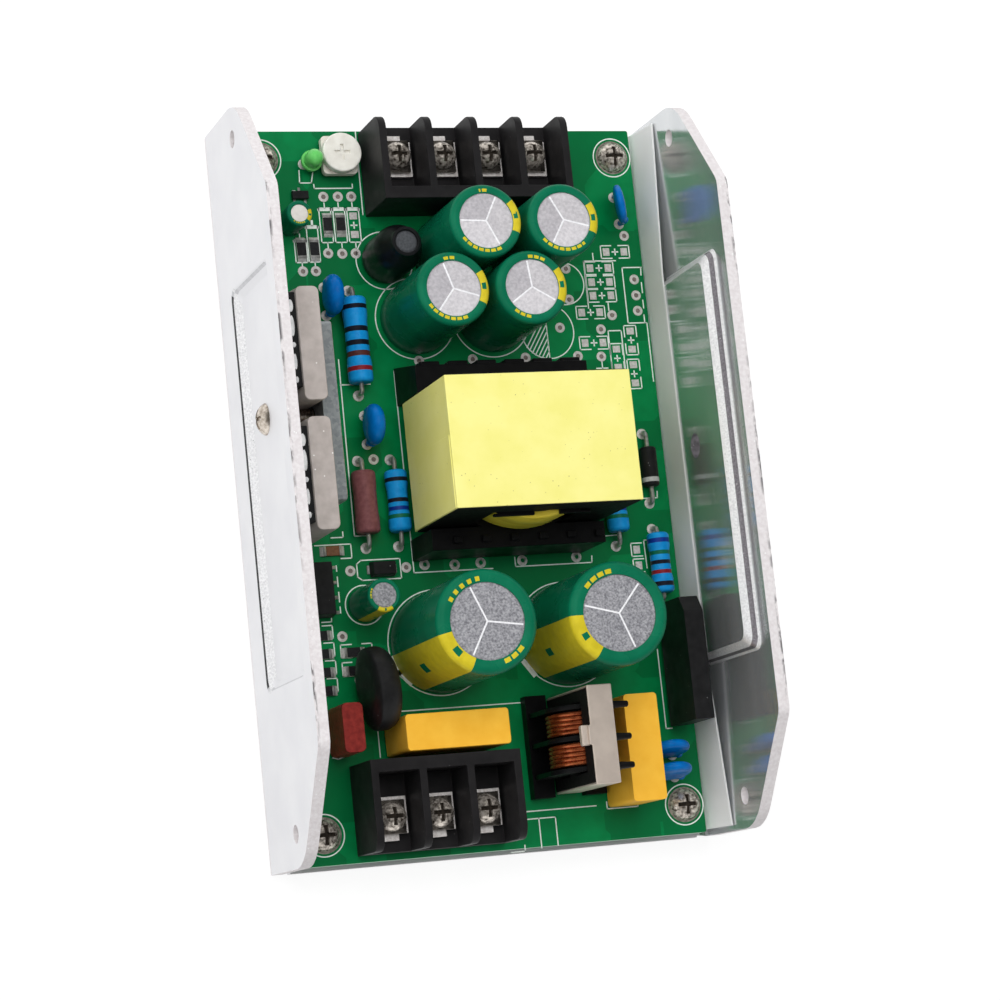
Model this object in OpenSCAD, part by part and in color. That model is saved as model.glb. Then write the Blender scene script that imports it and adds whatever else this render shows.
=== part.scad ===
/* [Circuit board] */
// Length of the board, input end to output end
board_l = 125.6; // [124:0.1:132]
// Width of the board
board_w = 72; // [71:0.1:80]
// Thickness of the board
board_t = 1.6; // [1:0.1:2.4]
// Distance of the screw holes from the board's long edges
hole_edge_x = 3.615; // [3.4:0.005:6]
// Distance of the screw holes from the board's short edges
hole_edge_y = 5.015; // [4:0.005:8]
// Diameter of the screw holes in the board
board_hole_d = 3.4; // [3.2:0.1:4]
// Height of the standoffs under the board
standoff_h = 5; // [4.6:0.1:9]
// Diameter of the standoffs
standoff_d = 6; // [5:0.1:7]

/* [Channel] */
// Thickness of the folded sheet
sheet_t = 2; // [1.5:0.1:2.5]
// Height of the side walls over the surface below
wall_h = 38; // [36:0.1:46]
// Gap between the board's edge and each wall
side_gap = 2.5; // [2.2:0.1:4]
// How far the channel runs past each end of the board
end_overhang = 0.5; // [0:0.1:4]
// Radius inside the two folds
fold_r = 1.6; // [0.8:0.1:2]
// Length of the slanted cut at each wall corner
corner_l = 18; // [12:0.1:22]
// Height of the slanted cut at each wall corner
corner_h = 14.4; // [8:0.1:15]
// Length of the stamped pocket in each wall
pocket_l = 69; // [64:0.1:74]
// Height of the stamped pocket
pocket_h = 28.4; // [26:0.1:29]
// Depth of the stamped pocket
pocket_depth = 1.3; // [0.8:0.1:1.6]
// Height of the wall holes over the surface below
wall_hole_z = 20.6; // [18:0.1:23]
// Diameter of the tapped holes near the wall ends
wall_hole_d = 3; // [2.5:0.1:4]

/* [Terminal blocks] */
// Distance between neighbouring terminal screws
term_pitch = 8.25; // [7.8:0.05:8.4]
// Depth of a terminal block, wire side to back wall
term_depth = 14.9; // [13:0.1:15]
// Height of a terminal block
term_h = 12; // [11.9:0.1:16]
// Thickness of the barriers between the ways
term_wall = 1.3; // [1:0.1:1.6]
// Height of the floor that carries the contacts
term_floor = 3.6; // [3:0.1:3.7]

/* [Capacitors] */
// Diameter of the two bulk capacitors with sleeve
bulk_d = 17.4; // [16:0.1:18]
// Height of the two bulk capacitors
bulk_h = 25.5; // [20:0.1:29]
// Diameter of the four output capacitors with sleeve
out_cap_d = 12.7; // [12:0.1:13]
// Height of the four output capacitors
out_cap_h = 21.5; // [16:0.1:27]
// Length of the two box capacitors
box_cap_l = 18; // [17:0.1:18.5]
// Thickness of the two box capacitors
box_cap_t = 6; // [5:0.1:6.2]
// Height of the two box capacitors
box_cap_h = 12; // [10:0.1:15]
// Diameter of the blue disc capacitors
disc_d = 7; // [6:0.1:7.4]

/* [Transformer] */
// Length of the ferrite core across the board
core_l = 32; // [31:0.1:32.6]
// Width of the ferrite core along the board
core_w = 22.4; // [21:0.1:22.8]
// Height of the two core halves together
core_h = 22.2; // [20:0.1:23]
// Diameter of the round centre post
post_d = 13.4; // [12:0.1:14.5]
// Height of the core over the board
core_lift = 5.3; // [5:0.1:6]

/* [Choke] */
// Width of the choke's core limbs
choke_limb = 4.4; // [3.6:0.1:5]
// Height of the choke with its clip
choke_h = 20; // [19.6:0.1:22]
// Diameter of the choke bobbin's flanges
choke_flange_d = 12.4; // [11.6:0.1:12.6]

/* [Wall parts] */
// Width of a silicone cap along the wall
cap_w = 18.6; // [17.6:0.1:18.8]
// Thickness of a silicone cap
cap_t = 5.8; // [5.6:0.1:6.4]
// Height of a silicone cap's top over the board
cap_top = 22.5; // [20:0.1:26]
// Length of the clamp bar
bar_l = 30; // [24:0.1:34]
// Height of the clamp bar
bar_h = 13; // [8:0.1:16]

/* [Trimmer] */
// Diameter of the trimmer's dial
dial_d = 6.9; // [6:0.1:7.1]
// Thickness of the trimmer's dial
dial_t = 1.6; // [1.4:0.1:2]

/* [Hidden] */
$fn = 48;

// Heights and outlines that follow from the driving sizes
board_z = sheet_t + standoff_h;
board_top = board_z + board_t;
inner_half = board_w / 2 + side_gap;
outer_half = inner_half + sheet_t;
chassis_l = board_l + 2 * end_overhang;
hole_span_x = board_w - 2 * hole_edge_x;
hole_span_y = board_l - 2 * hole_edge_y;
front_y = -board_l / 2;
rear_y = board_l / 2;
fit_gap = 0.1;

// Free-standing parts spread with the board; the layout is for this board
layout_w = 72;
layout_l = 125.6;
stretch = board_l / layout_l;
function spread(at) = [at[0] * board_w / layout_w, at[1] * stretch];
function sum(v, i = 0) = i < len(v) ? v[i] + sum(v, i + 1) : 0;

// Wall outline
wall_corner_r = 9;
wall_shoulder_r = 3;
foot_r = 3.3;
pocket_rim = 3.4;
rim_steps = 3;
pocket_grow = 0.3;
pocket_z = wall_hole_z - 0.4;
spare_hole_d = 4.2;
spare_hole_y = 2.8;
pocket_floor_x = inner_half - pocket_depth;

// Insulating film along the right wall
strip_t = 0.3;
strip_low = sheet_t + fold_r + 0.4;
strip_top = board_top + 6.2;
strip_end_gap = 0.5;

// Screws with a cross recess
screw_d = 3;
screw_clear = 0.1;
screw_head_d = 5.6;
screw_head_h = 2;
recess_w = 0.7;
recess_depth = 0.9;
board_screw_l = board_t + 4;

// Terminal blocks
term_back_t = 2.1;
out_term_edge = 0.45;
in_term_edge = 1.1;
term_round = 2.5;
term_screw_y = 5.75;
contact_t = 1;
contact_w = 6;
contact_l = 6.2;
tongue_w = 2.6;
tongue_l = 2;
tongue_reach = 1.1;
clamp_t = 1;
clamp_w = 4.8;
clamp_l = 5.6;
term_head_d = 5;
term_head_h = 2.4;
term_screw_l = 3;
out_ways = 4;
in_ways = 3;
out_term_x = 2.5;
in_term_x = -13.95;
out_term_left = out_term_x - (out_ways * term_pitch + term_wall) / 2;
out_term_back_y = rear_y - out_term_edge - term_depth;
in_term_back_y = front_y + in_term_edge + term_depth;

// Sleeved capacitors
sleeve_t = 0.35;
sleeve_foot = 0.2;
score_w = 0.4;
score_depth = 0.25;
bulk_lip = 2.2;
out_cap_lip = 1.6;
bulk_mid_x = 2.4;
bulk_gap_x = 5.6;
bulk_x = [bulk_mid_x - (bulk_d + bulk_gap_x) / 2, bulk_mid_x + (bulk_d + bulk_gap_x) / 2];
sleeve_round = 0.9;
can_round = 0.8;
can_foot_round = 0.4;
out_cap_x = 6.35;
out_cap_gap_x = 1.2;
out_cap_gap = 0.75;
out_cap_pitch = out_cap_d + out_cap_gap_x;
out_row_step = sqrt(pow(out_cap_d + out_cap_gap, 2) - pow(out_cap_pitch / 2, 2));

// Middle column of the board: its free length is shared between its parts
column_gaps = [0.9, 4.2, 5.3, 2.3, 0.35];
rail_gap = 0.4;
rail_front_t = 3.7;
rail_rear_t = 6.7;
rail_front_y = [-core_w / 2 - rail_gap - rail_front_t, -core_w / 2 - rail_gap];
rail_rear_y = [core_w / 2 + rail_gap, core_w / 2 + rail_gap + rail_rear_t];
column_parts = [
    out_term_edge + in_term_edge + 2 * term_depth, box_cap_t, bulk_d,
    rail_rear_y[1] - rail_front_y[0], out_cap_d + out_row_step
];
column_gap = column_gaps * (board_l - sum(column_parts)) / sum(column_gaps);
box_1_y = in_term_back_y + column_gap[0] + box_cap_t / 2;
bulk_y = box_1_y + box_cap_t / 2 + column_gap[1] + bulk_d / 2;
transformer_y = bulk_y + bulk_d / 2 + column_gap[2] - rail_front_y[0];
out_row_1_y = out_term_back_y - column_gap[4] - out_cap_d / 2;
out_row_2_y = out_row_1_y - out_row_step;
out_cap_places = [
    [out_cap_x - out_cap_pitch / 2, out_row_1_y],
    [out_cap_x + out_cap_pitch / 2, out_row_1_y],
    [out_cap_x - out_cap_pitch, out_row_2_y],
    [out_cap_x, out_row_2_y]
];
supply_cap_d = 5.7;
supply_cap_h = 11.5;
supply_cap_at = spread([-21.6, -19.9]);
reference_cap_d = 4.5;
reference_cap_h = 7;
reference_cap_at = spread([-28.5, 46.4]);
small_lip = 0.7;
small_round = 0.5;

// Box capacitors, film capacitor and thermistor
box_foot = 0.4;
box_edge_r = 0.6;
box_foot_w = 1.2;
box_foot_inset = 0.9;
box_1_at = [in_term_x + 2.55, box_1_y];
thermistor_d = 14;
thermistor_t = 4.4;
thermistor_turn = 5;
thermistor_seat = 2;
thermistor_pitch = 5;
thermistor_half_x = thermistor_t / 2 + thermistor_d / 2 * sin(thermistor_turn);
thermistor_gap = 0.2;
thermistor_at = [
    box_1_at[0] - box_cap_l / 2 - thermistor_gap - thermistor_half_x, spread([0, -35])[1]
];
film_size = [3.6, 8.2, 9];
film_gap = [0.3, 1.6];
film_edge_r = 0.9;
film_at = [
    thermistor_at[0] - thermistor_half_x - film_gap[0] - film_size[0] / 2,
    in_term_back_y + film_gap[1] + film_size[1] / 2
];
disc_t = 3;
disc_seat = 1.5;
slim_disc_t = 2.2;
disc_rear_at = spread([-23.4, 32.6]);
disc_mid_at = spread([-18.4, 10]);
disc_right_at = [spread([32.1, 0])[0], rear_y - 14.8];
disc_right_lean = -20;
disc_pair_y = [front_y + 13.7, front_y + 9.9];
disc_pair_lean = 12;
disc_pitch = 4.9;

// Transformer
transformer_at = [3.15, transformer_y];
tape_t = 0.25;
tape_inset = 0.2;
core_leg = 2.25;
core_window_d = core_l - 2 * core_leg;
core_plate = 5.2;
flange_t = 0.8;
flange_d = core_window_d - 0.8;
flange_tabs = [[-8.1, -0.95], [3.5, 9]];
tab_reach = 0.6;
bobbin_wall = 0.9;
post_clear = 0.2;
winding_d = core_window_d - 2.1;
rail_foot = 1;
rail_foot_w = 2;
rail_w = core_l - 1;
pin_d = 0.9;
pin_count = 6;
pin_pitch = 5.08;
pin_inset = 1.6;

// Choke
choke_x = 11;
choke_gap = 1.7;
choke_clear = 0.2;
choke_limb_h = 3.4;
choke_base_limb_h = 2.4;
choke_base_lift = 0.8;
choke_l = 15.6;
choke_end = 2;
clip_t = 0.4;
clip_tab_w = 3.2;
choke_flange_t = 0.8;
choke_wire_d = 0.8;
choke_turns = 5;
choke_sleeve_d = 6.6;
choke_rail_w = 3.8;
choke_rail_h = 2.2;
choke_rail_l = 17.4;
choke_rail_out = 0.4;
choke_at = [choke_x, bulk_y - bulk_d / 2 - choke_gap - choke_rail_l / 2];
choke_top = choke_h - clip_t;
choke_axis_z = (choke_base_lift + choke_base_limb_h + choke_top - choke_limb_h) / 2;
box_2_gap = 1;
box_2_at = [choke_x + choke_flange_d / 2 + box_2_gap + box_cap_t / 2, choke_at[1] - 2.1];
disc_pair_x = box_2_at[0] + box_cap_t / 2 + box_2_gap + disc_d / 2;

// Axial parts lie along the board
lead_d = 0.8;
lead_bend_r = 0.9;
lead_gap = 0.2;
power_resistor_at = spread([-19.1, 25.2]);
power_resistor_size = [4.3, 15];
power_resistor_span = 18.4;
sense_resistor_at = spread([-20.4, -2.8]);
sense_resistor_size = [4.2, 10.8];
sense_resistor_span = 15;
film_resistor_size = [3.9, 10.6];
film_resistor_span = [15, 12.6, 15];
diode_size = [3, 7];
diode_span = 12.4;
axial_round = 0.8;

// Right column: bridge, resistor and diode follow each other from the front
bridge_size = [3.5, 21.2, 11.2];
bridge_at = [spread([32.75, 0])[0], front_y + 29.15];
right_gap = [0.5, 3.8];
bridge_rear_y = bridge_at[1] + bridge_size[1] / 2;
right_resistor_y = bridge_rear_y + right_gap[0] + (film_resistor_span[1] + lead_d) / 2;
diode_y = right_resistor_y + (film_resistor_span[1] + diode_span) / 2 + lead_d + right_gap[1];
diode_at = [spread([32.2, 0])[0], diode_y];
film_resistor_places = [
    spread([-14.6, -2.8]),
    [spread([32.1, 0])[0], right_resistor_y],
    [spread([25, 0])[0], transformer_y - 7]
];

// Parts on the walls
clamp_y = 10.1;
cap_wall = 0.45;
cap_bottom = 4.4;
cap_gap = screw_d + 0.6;
cap_x = -(pocket_floor_x - fit_gap - cap_t / 2);
transistor_play = 0.15;
transistor_w = 15.8;
transistor_h = 19;
transistor_lead = [0.6, 1.2];
transistor_pitch = 5.45;
bar_t = 2.8;
bar_x = cap_x + cap_t / 2 + fit_gap;
clamp_screw_clear = 0.2;
clamp_head_d = 5.4;

// Bridge rectifier
bridge_seat = 1.2;
bridge_cut = [2.6, 1.8];
bridge_lead_d = 1;
bridge_pitch = 5.08;

// Trimmer, lamp and inductor
trimmer_gap = 0.9;
trimmer_at = [out_term_left - trimmer_gap - dial_d / 2, rear_y - 4.9];
trimmer_base_size = [6.2, 6.8, 1.4];
trimmer_foot = 0.9;
trimmer_leg = [1, 0.8];
trimmer_leg_x = 2;
trimmer_post_d = 1.6;
dial_lift = 0.3;
dial_web = 0.15;
dial_end_gap = 0.15;
dial_round = 0.3;
dial_slot = [2.8, 0.6, 0.5];
dial_bore_clear = 0.05;
dial_bore_h = dial_t - dial_slot[2] - dial_web;
lamp_at = [trimmer_at[0] - 5.05, rear_y - 5.9];
lamp_d = 3;
lamp_flange_d = 3.7;
lamp_flange_h = 0.8;
lamp_h = 3.9;
lamp_seat = 1.7;
lamp_pitch = 1.8;
inductor_d = 8.4;
inductor_gap = 0.9;
inductor_at = [
    out_cap_places[0][0] - (out_cap_d + inductor_d) / 2 - inductor_gap, out_row_1_y - 1.1
];
inductor_h = 13;
inductor_top_d = 5.2;
inductor_eye_d = 4;
inductor_eye_depth = 0.4;

// Surface parts
chip_size = [1.6, 3.2, 0.6];
chip_cap_t = 0.5;
chip_cap_grow = 0.04;
chips_along = [
    spread([-21.7, 46.1]), spread([-19.4, 46.1]), spread([-26.8, 41.8]), spread([-24.5, 41.8])
];
chip_row_x = spread([-29.9, 0])[0];
chip_row_2_x = spread([-24.4, 0])[0];
chip_row_y = film_at[1] + film_size[1] / 2 + 3 * stretch;
chip_row_step = 3.1 * stretch;
ic_size = [6.4, 9.3, 3.2];
ic_at = [spread([-30.6, 0])[0], chip_row_y + 3 * chip_row_step + 7.6 * stretch];
chips_across = [
    for (i = [0 : 3]) [chip_row_x, chip_row_y + i * chip_row_step],
    for (i = [1 : 2]) [chip_row_2_x, chip_row_y + i * chip_row_step],
    [spread([-26.4, 0])[0], ic_at[1] + 6.6]
];
ic_pins = 4;
ic_pin_pitch = 2.54;
ic_pin = [1.4, 0.6, 0.3];
ic_seat = 0.3;
ic_taper = 0.25;
regulator_size = [1.4, 2.9, 1];
regulator_at = spread([-26.2, 51.3]);
surface_diode_size = [4.3, 2.6, 2.1];
surface_diode_at = spread([-18, -14]);
surface_tab = [0.9, 1.5, 0.25];
surface_taper = 0.2;

// Points of an outline with round corners, listed anticlockwise
function unit(v) = v / norm(v);
function turned(v, a) = [v[0] * cos(a) - v[1] * sin(a), v[0] * sin(a) + v[1] * cos(a)];
function round_corner(before, corner, after, r, steps) =
    let (
        u = unit(before - corner),
        v = unit(after - corner),
        half = acos(u * v) / 2,
        centre = corner + unit(u + v) * r / sin(half),
        start = corner + u * r / tan(half) - centre,
        way = sign(cross(corner - before, after - corner))
    )
    r <= 0
        ? [corner]
        : [for (i = [0 : steps]) centre + turned(start, way * (180 - 2 * half) * i / steps)];
function round_outline(points, radii, steps = 5) =
    let (n = len(points))
    [for (i = [0 : n - 1])
        each round_corner(points[(i + n - 1) % n], points[i], points[(i + 1) % n], radii[i], steps)];

module on_board(at) translate([at[0], at[1], board_top]) children();

module round_box(size, r) {
    x = size[0] / 2;
    y = size[1] / 2;
    linear_extrude(size[2])
        polygon(round_outline([[-x, -y], [x, -y], [x, y], [-x, y]], [r, r, r, r]));
}

// Box whose four sides lean in by the taper over its height
module leaning_box(size, taper, below = 0) {
    slope = taper / size[2];
    intersection_for (way = [0, 1]) {
        reach = size[way] / 2;
        rotate([90, 0, 90 * way])
            linear_extrude(size[1 - way] + 2 * slope * below, center = true)
                polygon([
                    [-reach - slope * below, -below], [reach + slope * below, -below],
                    [reach - taper, size[2]], [-reach + taper, size[2]]
                ]);
    }
}

// Screw that stands head up with the seat of its head at zero
module cross_screw(head_d, head_h, shank_l) {
    dome_r = (pow(head_d / 2, 2) + pow(head_h, 2)) / (2 * head_h);
    difference() {
        union() {
            intersection() {
                cylinder(d = head_d, h = head_h);
                translate([0, 0, head_h - dome_r]) sphere(dome_r);
            }
            translate([0, 0, -shank_l]) cylinder(d = screw_d, h = shank_l);
        }
        for (a = [0, 90])
            rotate(a)
                translate([-head_d * 0.3, -recess_w / 2, head_h - recess_depth])
                    cube([head_d * 0.6, recess_w, head_h]);
    }
}

// Folded channel
module channel_section() {
    outer_r = fold_r + sheet_t;
    polygon(round_outline(
        [
            [-outer_half, 0], [outer_half, 0], [outer_half, wall_h], [inner_half, wall_h],
            [inner_half, sheet_t], [-inner_half, sheet_t], [-inner_half, wall_h], [-outer_half, wall_h]
        ],
        [outer_r, outer_r, 0, 0, fold_r, fold_r, 0, 0]
    ));
}

module wall_outline() {
    end = chassis_l / 2;
    polygon(round_outline(
        [
            [-end, 0], [end, 0], [end, wall_h - corner_h], [end - corner_l, wall_h],
            [corner_l - end, wall_h], [-end, wall_h - corner_h]
        ],
        [0, 0, wall_corner_r, wall_shoulder_r, wall_shoulder_r, wall_corner_r]
    ));
}

module wall_hole(d, y) {
    translate([0, y, wall_hole_z]) rotate([0, 90, 0]) cylinder(d = d, h = outer_half + 1);
}

// The rim leaves the wall steeply and eases to the pocket's floor along an arc
module stamped_form(grow, x, below) {
    turn = 2 * atan(pocket_depth / pocket_rim);
    r = pocket_rim / sin(turn);
    translate([x, 0, pocket_z])
        rotate([90, 0, 90])
            intersection_for (i = [0 : rim_steps - 1]) {
                a = turn * (1 - i / rim_steps);
                b = turn * (1 - (i + 1) / rim_steps);
                inset = r * (sin(turn) - sin(a));
                rise = r * (cos(a) - cos(turn));
                slope = (sin(a) - sin(b)) / (cos(b) - cos(a));
                out = 2 * (grow + rise * slope - inset);
                leaning_box([pocket_l + out, pocket_h + out, pocket_depth], slope * pocket_depth, below);
            }
}

// The walls' lower corners are round, beside the square ends of the base
module foot_cuts() {
    for (side = [0, 1], end = [0, 1])
        mirror([side, 0, 0])
            mirror([0, end, 0])
                translate([inner_half - fold_r, chassis_l / 2 - foot_r, 0])
                    rotate([90, 0, 90])
                        linear_extrude(sheet_t + fold_r + 1)
                            difference() {
                                translate([0, -1]) square([foot_r + 1, foot_r + 1]);
                                translate([0, foot_r]) circle(foot_r);
                            }
}

module chassis() color("gainsboro") difference() {
    union() {
        intersection() {
            rotate([90, 0, 0]) linear_extrude(chassis_l, center = true) channel_section();
            rotate([90, 0, 90]) linear_extrude(2 * outer_half, center = true) wall_outline();
        }
        for (side = [0, 1])
            mirror([side, 0, 0]) stamped_form(pocket_grow, -inner_half, 0.2);
    }
    for (side = [0, 1])
        mirror([side, 0, 0]) {
            stamped_form(0, -outer_half, 1);
            for (end = [-1, 1]) wall_hole(wall_hole_d, end * hole_span_y / 2);
        }
    foot_cuts();
    wall_hole(spare_hole_d, spare_hole_y);
    mirror([1, 0, 0]) wall_hole(screw_d + 2 * clamp_screw_clear, clamp_y);
}

// Film between the board and the right wall: it lies on the wall at its ends and on the pocket between
module insulating_strip() color("whitesmoke") {
    end = board_l / 2 - strip_end_gap;
    flat = pocket_l / 2 + strip_end_gap;
    near = pocket_floor_x - fit_gap;
    far = inner_half - fit_gap;
    translate([0, 0, strip_low])
        linear_extrude(strip_top - strip_low)
            polygon([
                [far, -end], [near, -flat], [near, flat], [far, end],
                [far - strip_t, end], [near - strip_t, flat], [near - strip_t, -flat], [far - strip_t, -end]
            ]);
}

module at_board_holes(z) {
    for (x = [-1, 1], y = [-1, 1]) translate([x * hole_span_x / 2, y * hole_span_y / 2, z]) children();
}

module standoffs() color("silver") at_board_holes(sheet_t) difference() {
    cylinder(d = standoff_d, h = standoff_h);
    translate([0, 0, -1]) cylinder(d = screw_d + 2 * screw_clear, h = standoff_h + 2);
}

module circuit_board() color("seagreen") difference() {
    translate([0, 0, board_z]) round_box([board_w, board_l, board_t], 0.4);
    at_board_holes(board_z - 1) cylinder(d = board_hole_d, h = board_t + 2);
}

module board_screws() color("silver")
    at_board_holes(board_top) cross_screw(screw_head_d, screw_head_h, board_screw_l);

// Terminal block: wires enter at y = 0, the back wall is at y = term_depth
function block_w(ways) = ways * term_pitch + term_wall;

module barrier(x) {
    translate([x, 0, 0])
        rotate([90, 0, 90])
            linear_extrude(term_wall)
                polygon(round_outline(
                    [[0, 0], [term_depth, 0], [term_depth, term_h], [0, term_h]],
                    [0, 0, 0.3, term_round]
                ));
}

module at_ways(ways, z) {
    for (i = [0 : ways - 1])
        translate([(i - (ways - 1) / 2) * term_pitch, term_screw_y, z]) children();
}

module block_housing(ways) {
    w = block_w(ways);
    difference() {
        union() {
            translate([-w / 2, 0, 0]) cube([w, term_depth, term_floor]);
            translate([-w / 2, term_depth - term_back_t, 0]) cube([w, term_back_t, term_h]);
            for (i = [0 : ways]) barrier(i * term_pitch - w / 2);
        }
        at_ways(ways, term_floor - term_screw_l) cylinder(d = screw_d + 2 * screw_clear, h = term_floor);
    }
}

module block_contacts(ways) at_ways(ways, term_floor) difference() {
    union() {
        translate([-contact_w / 2, -clamp_l / 2, 0]) cube([contact_w, contact_l, contact_t]);
        translate([-tongue_w / 2, -clamp_l / 2 - tongue_reach, 0]) cube([tongue_w, tongue_l, contact_t]);
    }
    translate([0, 0, -1]) cylinder(d = screw_d + 2 * screw_clear, h = contact_t + 2);
}

module block_clamps(ways) at_ways(ways, term_floor + contact_t) difference() {
    translate([-clamp_w / 2, -clamp_l / 2, 0]) cube([clamp_w, clamp_l, clamp_t]);
    translate([0, 0, -1]) cylinder(d = screw_d + 2 * screw_clear, h = clamp_t + 2);
}

module block_screws(ways)
    at_ways(ways, term_floor + contact_t + clamp_t)
        cross_screw(term_head_d, term_head_h, contact_t + clamp_t + term_screw_l - 0.2);

module at_output() on_board([out_term_x, board_l / 2 - out_term_edge]) rotate(180) children();
module at_input() on_board([in_term_x, in_term_edge - board_l / 2]) children();

module output_terminal_housing() color("dimgray") at_output() block_housing(out_ways);
module output_terminal_contacts() color("gold") at_output() block_contacts(out_ways);
module output_terminal_clamps() color("lightgray") at_output() block_clamps(out_ways);
module output_terminal_screws() color("silver") at_output() block_screws(out_ways);
module input_terminal_housing() color("dimgray") at_input() block_housing(in_ways);
module input_terminal_contacts() color("gold") at_input() block_contacts(in_ways);
module input_terminal_clamps() color("lightgray") at_input() block_clamps(in_ways);
module input_terminal_screws() color("silver") at_input() block_screws(in_ways);

// Transformer: round centre post, curved window, pins in two rails
module at_transformer(z = 0) on_board(transformer_at) translate([0, 0, z]) children();

module core_half() difference() {
    translate([-core_l / 2, -core_w / 2, 0]) cube([core_l, core_w, core_h / 2]);
    difference() {
        translate([0, 0, core_plate]) cylinder(d = core_window_d, h = core_h);
        cylinder(d = post_d, h = core_h);
    }
}

module transformer_core() color("dimgray") at_transformer(core_lift) {
    core_half();
    translate([0, 0, core_h]) mirror([0, 0, 1]) core_half();
}

module transformer_tape() color("khaki") at_transformer(core_lift)
    rotate([90, 0, 0])
        linear_extrude(core_w - 2 * tape_inset, center = true)
            difference() {
                translate([-core_l / 2 - tape_t, -tape_t]) square([core_l + 2 * tape_t, core_h + 2 * tape_t]);
                translate([-core_l / 2, 0]) square([core_l, core_h]);
            }

spool_low = core_lift + core_plate + fit_gap;
spool_high = core_lift + core_h - core_plate - fit_gap;
spool_d = post_d + 2 * (post_clear + bobbin_wall);

module pin_rail(span) {
    translate([-rail_w / 2, span[0], rail_foot])
        cube([rail_w, span[1] - span[0], spool_low + flange_t - rail_foot]);
    for (side = [-1, 1])
        translate([side * (rail_w - rail_foot_w) / 2 - rail_foot_w / 2, span[0], 0])
            cube([rail_foot_w, span[1] - span[0], rail_foot]);
}

// The upper flange reaches past the core in two tabs on each side
module upper_flange() linear_extrude(flange_t) {
    circle(d = core_w);
    for (tab = flange_tabs, side = [0, 1])
        mirror([0, side]) {
            w = tab[1] - tab[0];
            intersection() {
                translate([tab[0], 0]) square([w, core_w / 2 + tab_reach]);
                circle(d = flange_d);
            }
            translate([tab[0], core_w / 2 + fit_gap]) square([w, tab_reach - fit_gap]);
        }
}

module transformer_bobbin() color("black") at_transformer() difference() {
    union() {
        translate([0, 0, spool_low]) cylinder(d = spool_d, h = spool_high - spool_low);
        translate([0, 0, spool_low]) cylinder(d = flange_d, h = flange_t);
        translate([0, 0, spool_high - flange_t]) upper_flange();
        pin_rail(rail_front_y);
        pin_rail(rail_rear_y);
    }
    cylinder(d = post_d + 2 * post_clear, h = core_lift + core_h);
}

module transformer_winding() color("khaki") at_transformer() difference() {
    translate([0, 0, spool_low + flange_t])
        cylinder(d = winding_d, h = spool_high - spool_low - 2 * flange_t);
    cylinder(d = spool_d + fit_gap, h = core_lift + core_h);
}

module transformer_pins() color("silver") at_transformer()
    for (y = [rail_front_y[0] + pin_inset, rail_rear_y[1] - pin_inset], i = [0 : pin_count - 1])
        translate([(i - (pin_count - 1) / 2) * pin_pitch, y, 0]) cylinder(d = pin_d, h = rail_foot);

// Sleeved capacitors
module capacitor_can(d, h, scored) {
    r = d / 2 - sleeve_t - 0.05;
    top = h - sleeve_t - 0.05;
    difference() {
        rotate_extrude()
            polygon(round_outline(
                [[0, 0], [r, 0], [r, top], [0, top]], [0, can_foot_round, can_round, 0]
            ));
        if (scored)
            for (a = [90, 210, 330])
                rotate(a) translate([0, -score_w / 2, top - score_depth]) cube([r * 0.72, score_w, 1]);
    }
}

module capacitor_sleeve(d, h, lip) {
    r = d / 2;
    rotate_extrude()
        polygon(round_outline(
            [
                [r - sleeve_t, sleeve_foot], [r, sleeve_foot], [r, h], [r - lip, h],
                [r - lip, h - sleeve_t], [r - sleeve_t, h - sleeve_t]
            ],
            [0, 0, sleeve_round, 0, 0, sleeve_round - sleeve_t]
        ));
}

module bulk_can(i) color("silver") on_board([bulk_x[i], bulk_y]) capacitor_can(bulk_d, bulk_h, true);
module bulk_sleeve(i) color("darkgreen")
    on_board([bulk_x[i], bulk_y]) capacitor_sleeve(bulk_d, bulk_h, bulk_lip);
module out_can(i) color("silver") on_board(out_cap_places[i]) capacitor_can(out_cap_d, out_cap_h, true);
module out_sleeve(i) color("darkgreen")
    on_board(out_cap_places[i]) capacitor_sleeve(out_cap_d, out_cap_h, out_cap_lip);

// Small capacitor: can and sleeve shrunk together
module small_capacitor(d, h) {
    r = d / 2;
    rotate_extrude()
        polygon(round_outline(
            [[0, 0], [r, 0], [r, h], [r - small_lip, h], [r - small_lip, h - sleeve_t], [0, h - sleeve_t]],
            [0, 0, small_round, 0, 0, 0]
        ));
}

module supply_capacitor() color("darkgreen")
    on_board(supply_cap_at) small_capacitor(supply_cap_d, supply_cap_h);
module reference_capacitor() color("darkgreen")
    on_board(reference_cap_at) small_capacitor(reference_cap_d, reference_cap_h);

// Common-mode choke: the bobbin's axis lies along the board
module at_choke() on_board(choke_at) children();

module along_board(l) rotate([90, 0, 0]) linear_extrude(l, center = true) children();

module choke_core() color("dimgray") at_choke() difference() {
    translate([-choke_limb / 2, -choke_l / 2, choke_base_lift])
        cube([choke_limb, choke_l, choke_top - choke_base_lift]);
    for (z = [choke_base_lift + choke_base_limb_h, choke_axis_z + choke_limb_h / 2])
        translate([-choke_limb, choke_end - choke_l / 2, z])
            cube([
                2 * choke_limb, choke_l - 2 * choke_end,
                choke_axis_z - choke_limb_h / 2 - choke_base_lift - choke_base_limb_h
            ]);
}

module choke_clip() color("lightgray") at_choke() {
    translate([-choke_limb / 2, -choke_l / 2 - clip_t, choke_top])
        cube([choke_limb, choke_l + 2 * clip_t, clip_t]);
    for (end = [-1, 1])
        translate([-choke_limb / 2, end * (choke_l + clip_t) / 2 - clip_t / 2, choke_base_lift])
            cube([choke_limb, clip_t, choke_h - choke_base_lift]);
    translate([-choke_limb / 2 - clip_t, -clip_tab_w / 2, choke_top - choke_limb_h * 0.6])
        cube([clip_t, clip_tab_w, choke_limb_h * 0.6 + clip_t]);
}

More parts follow.
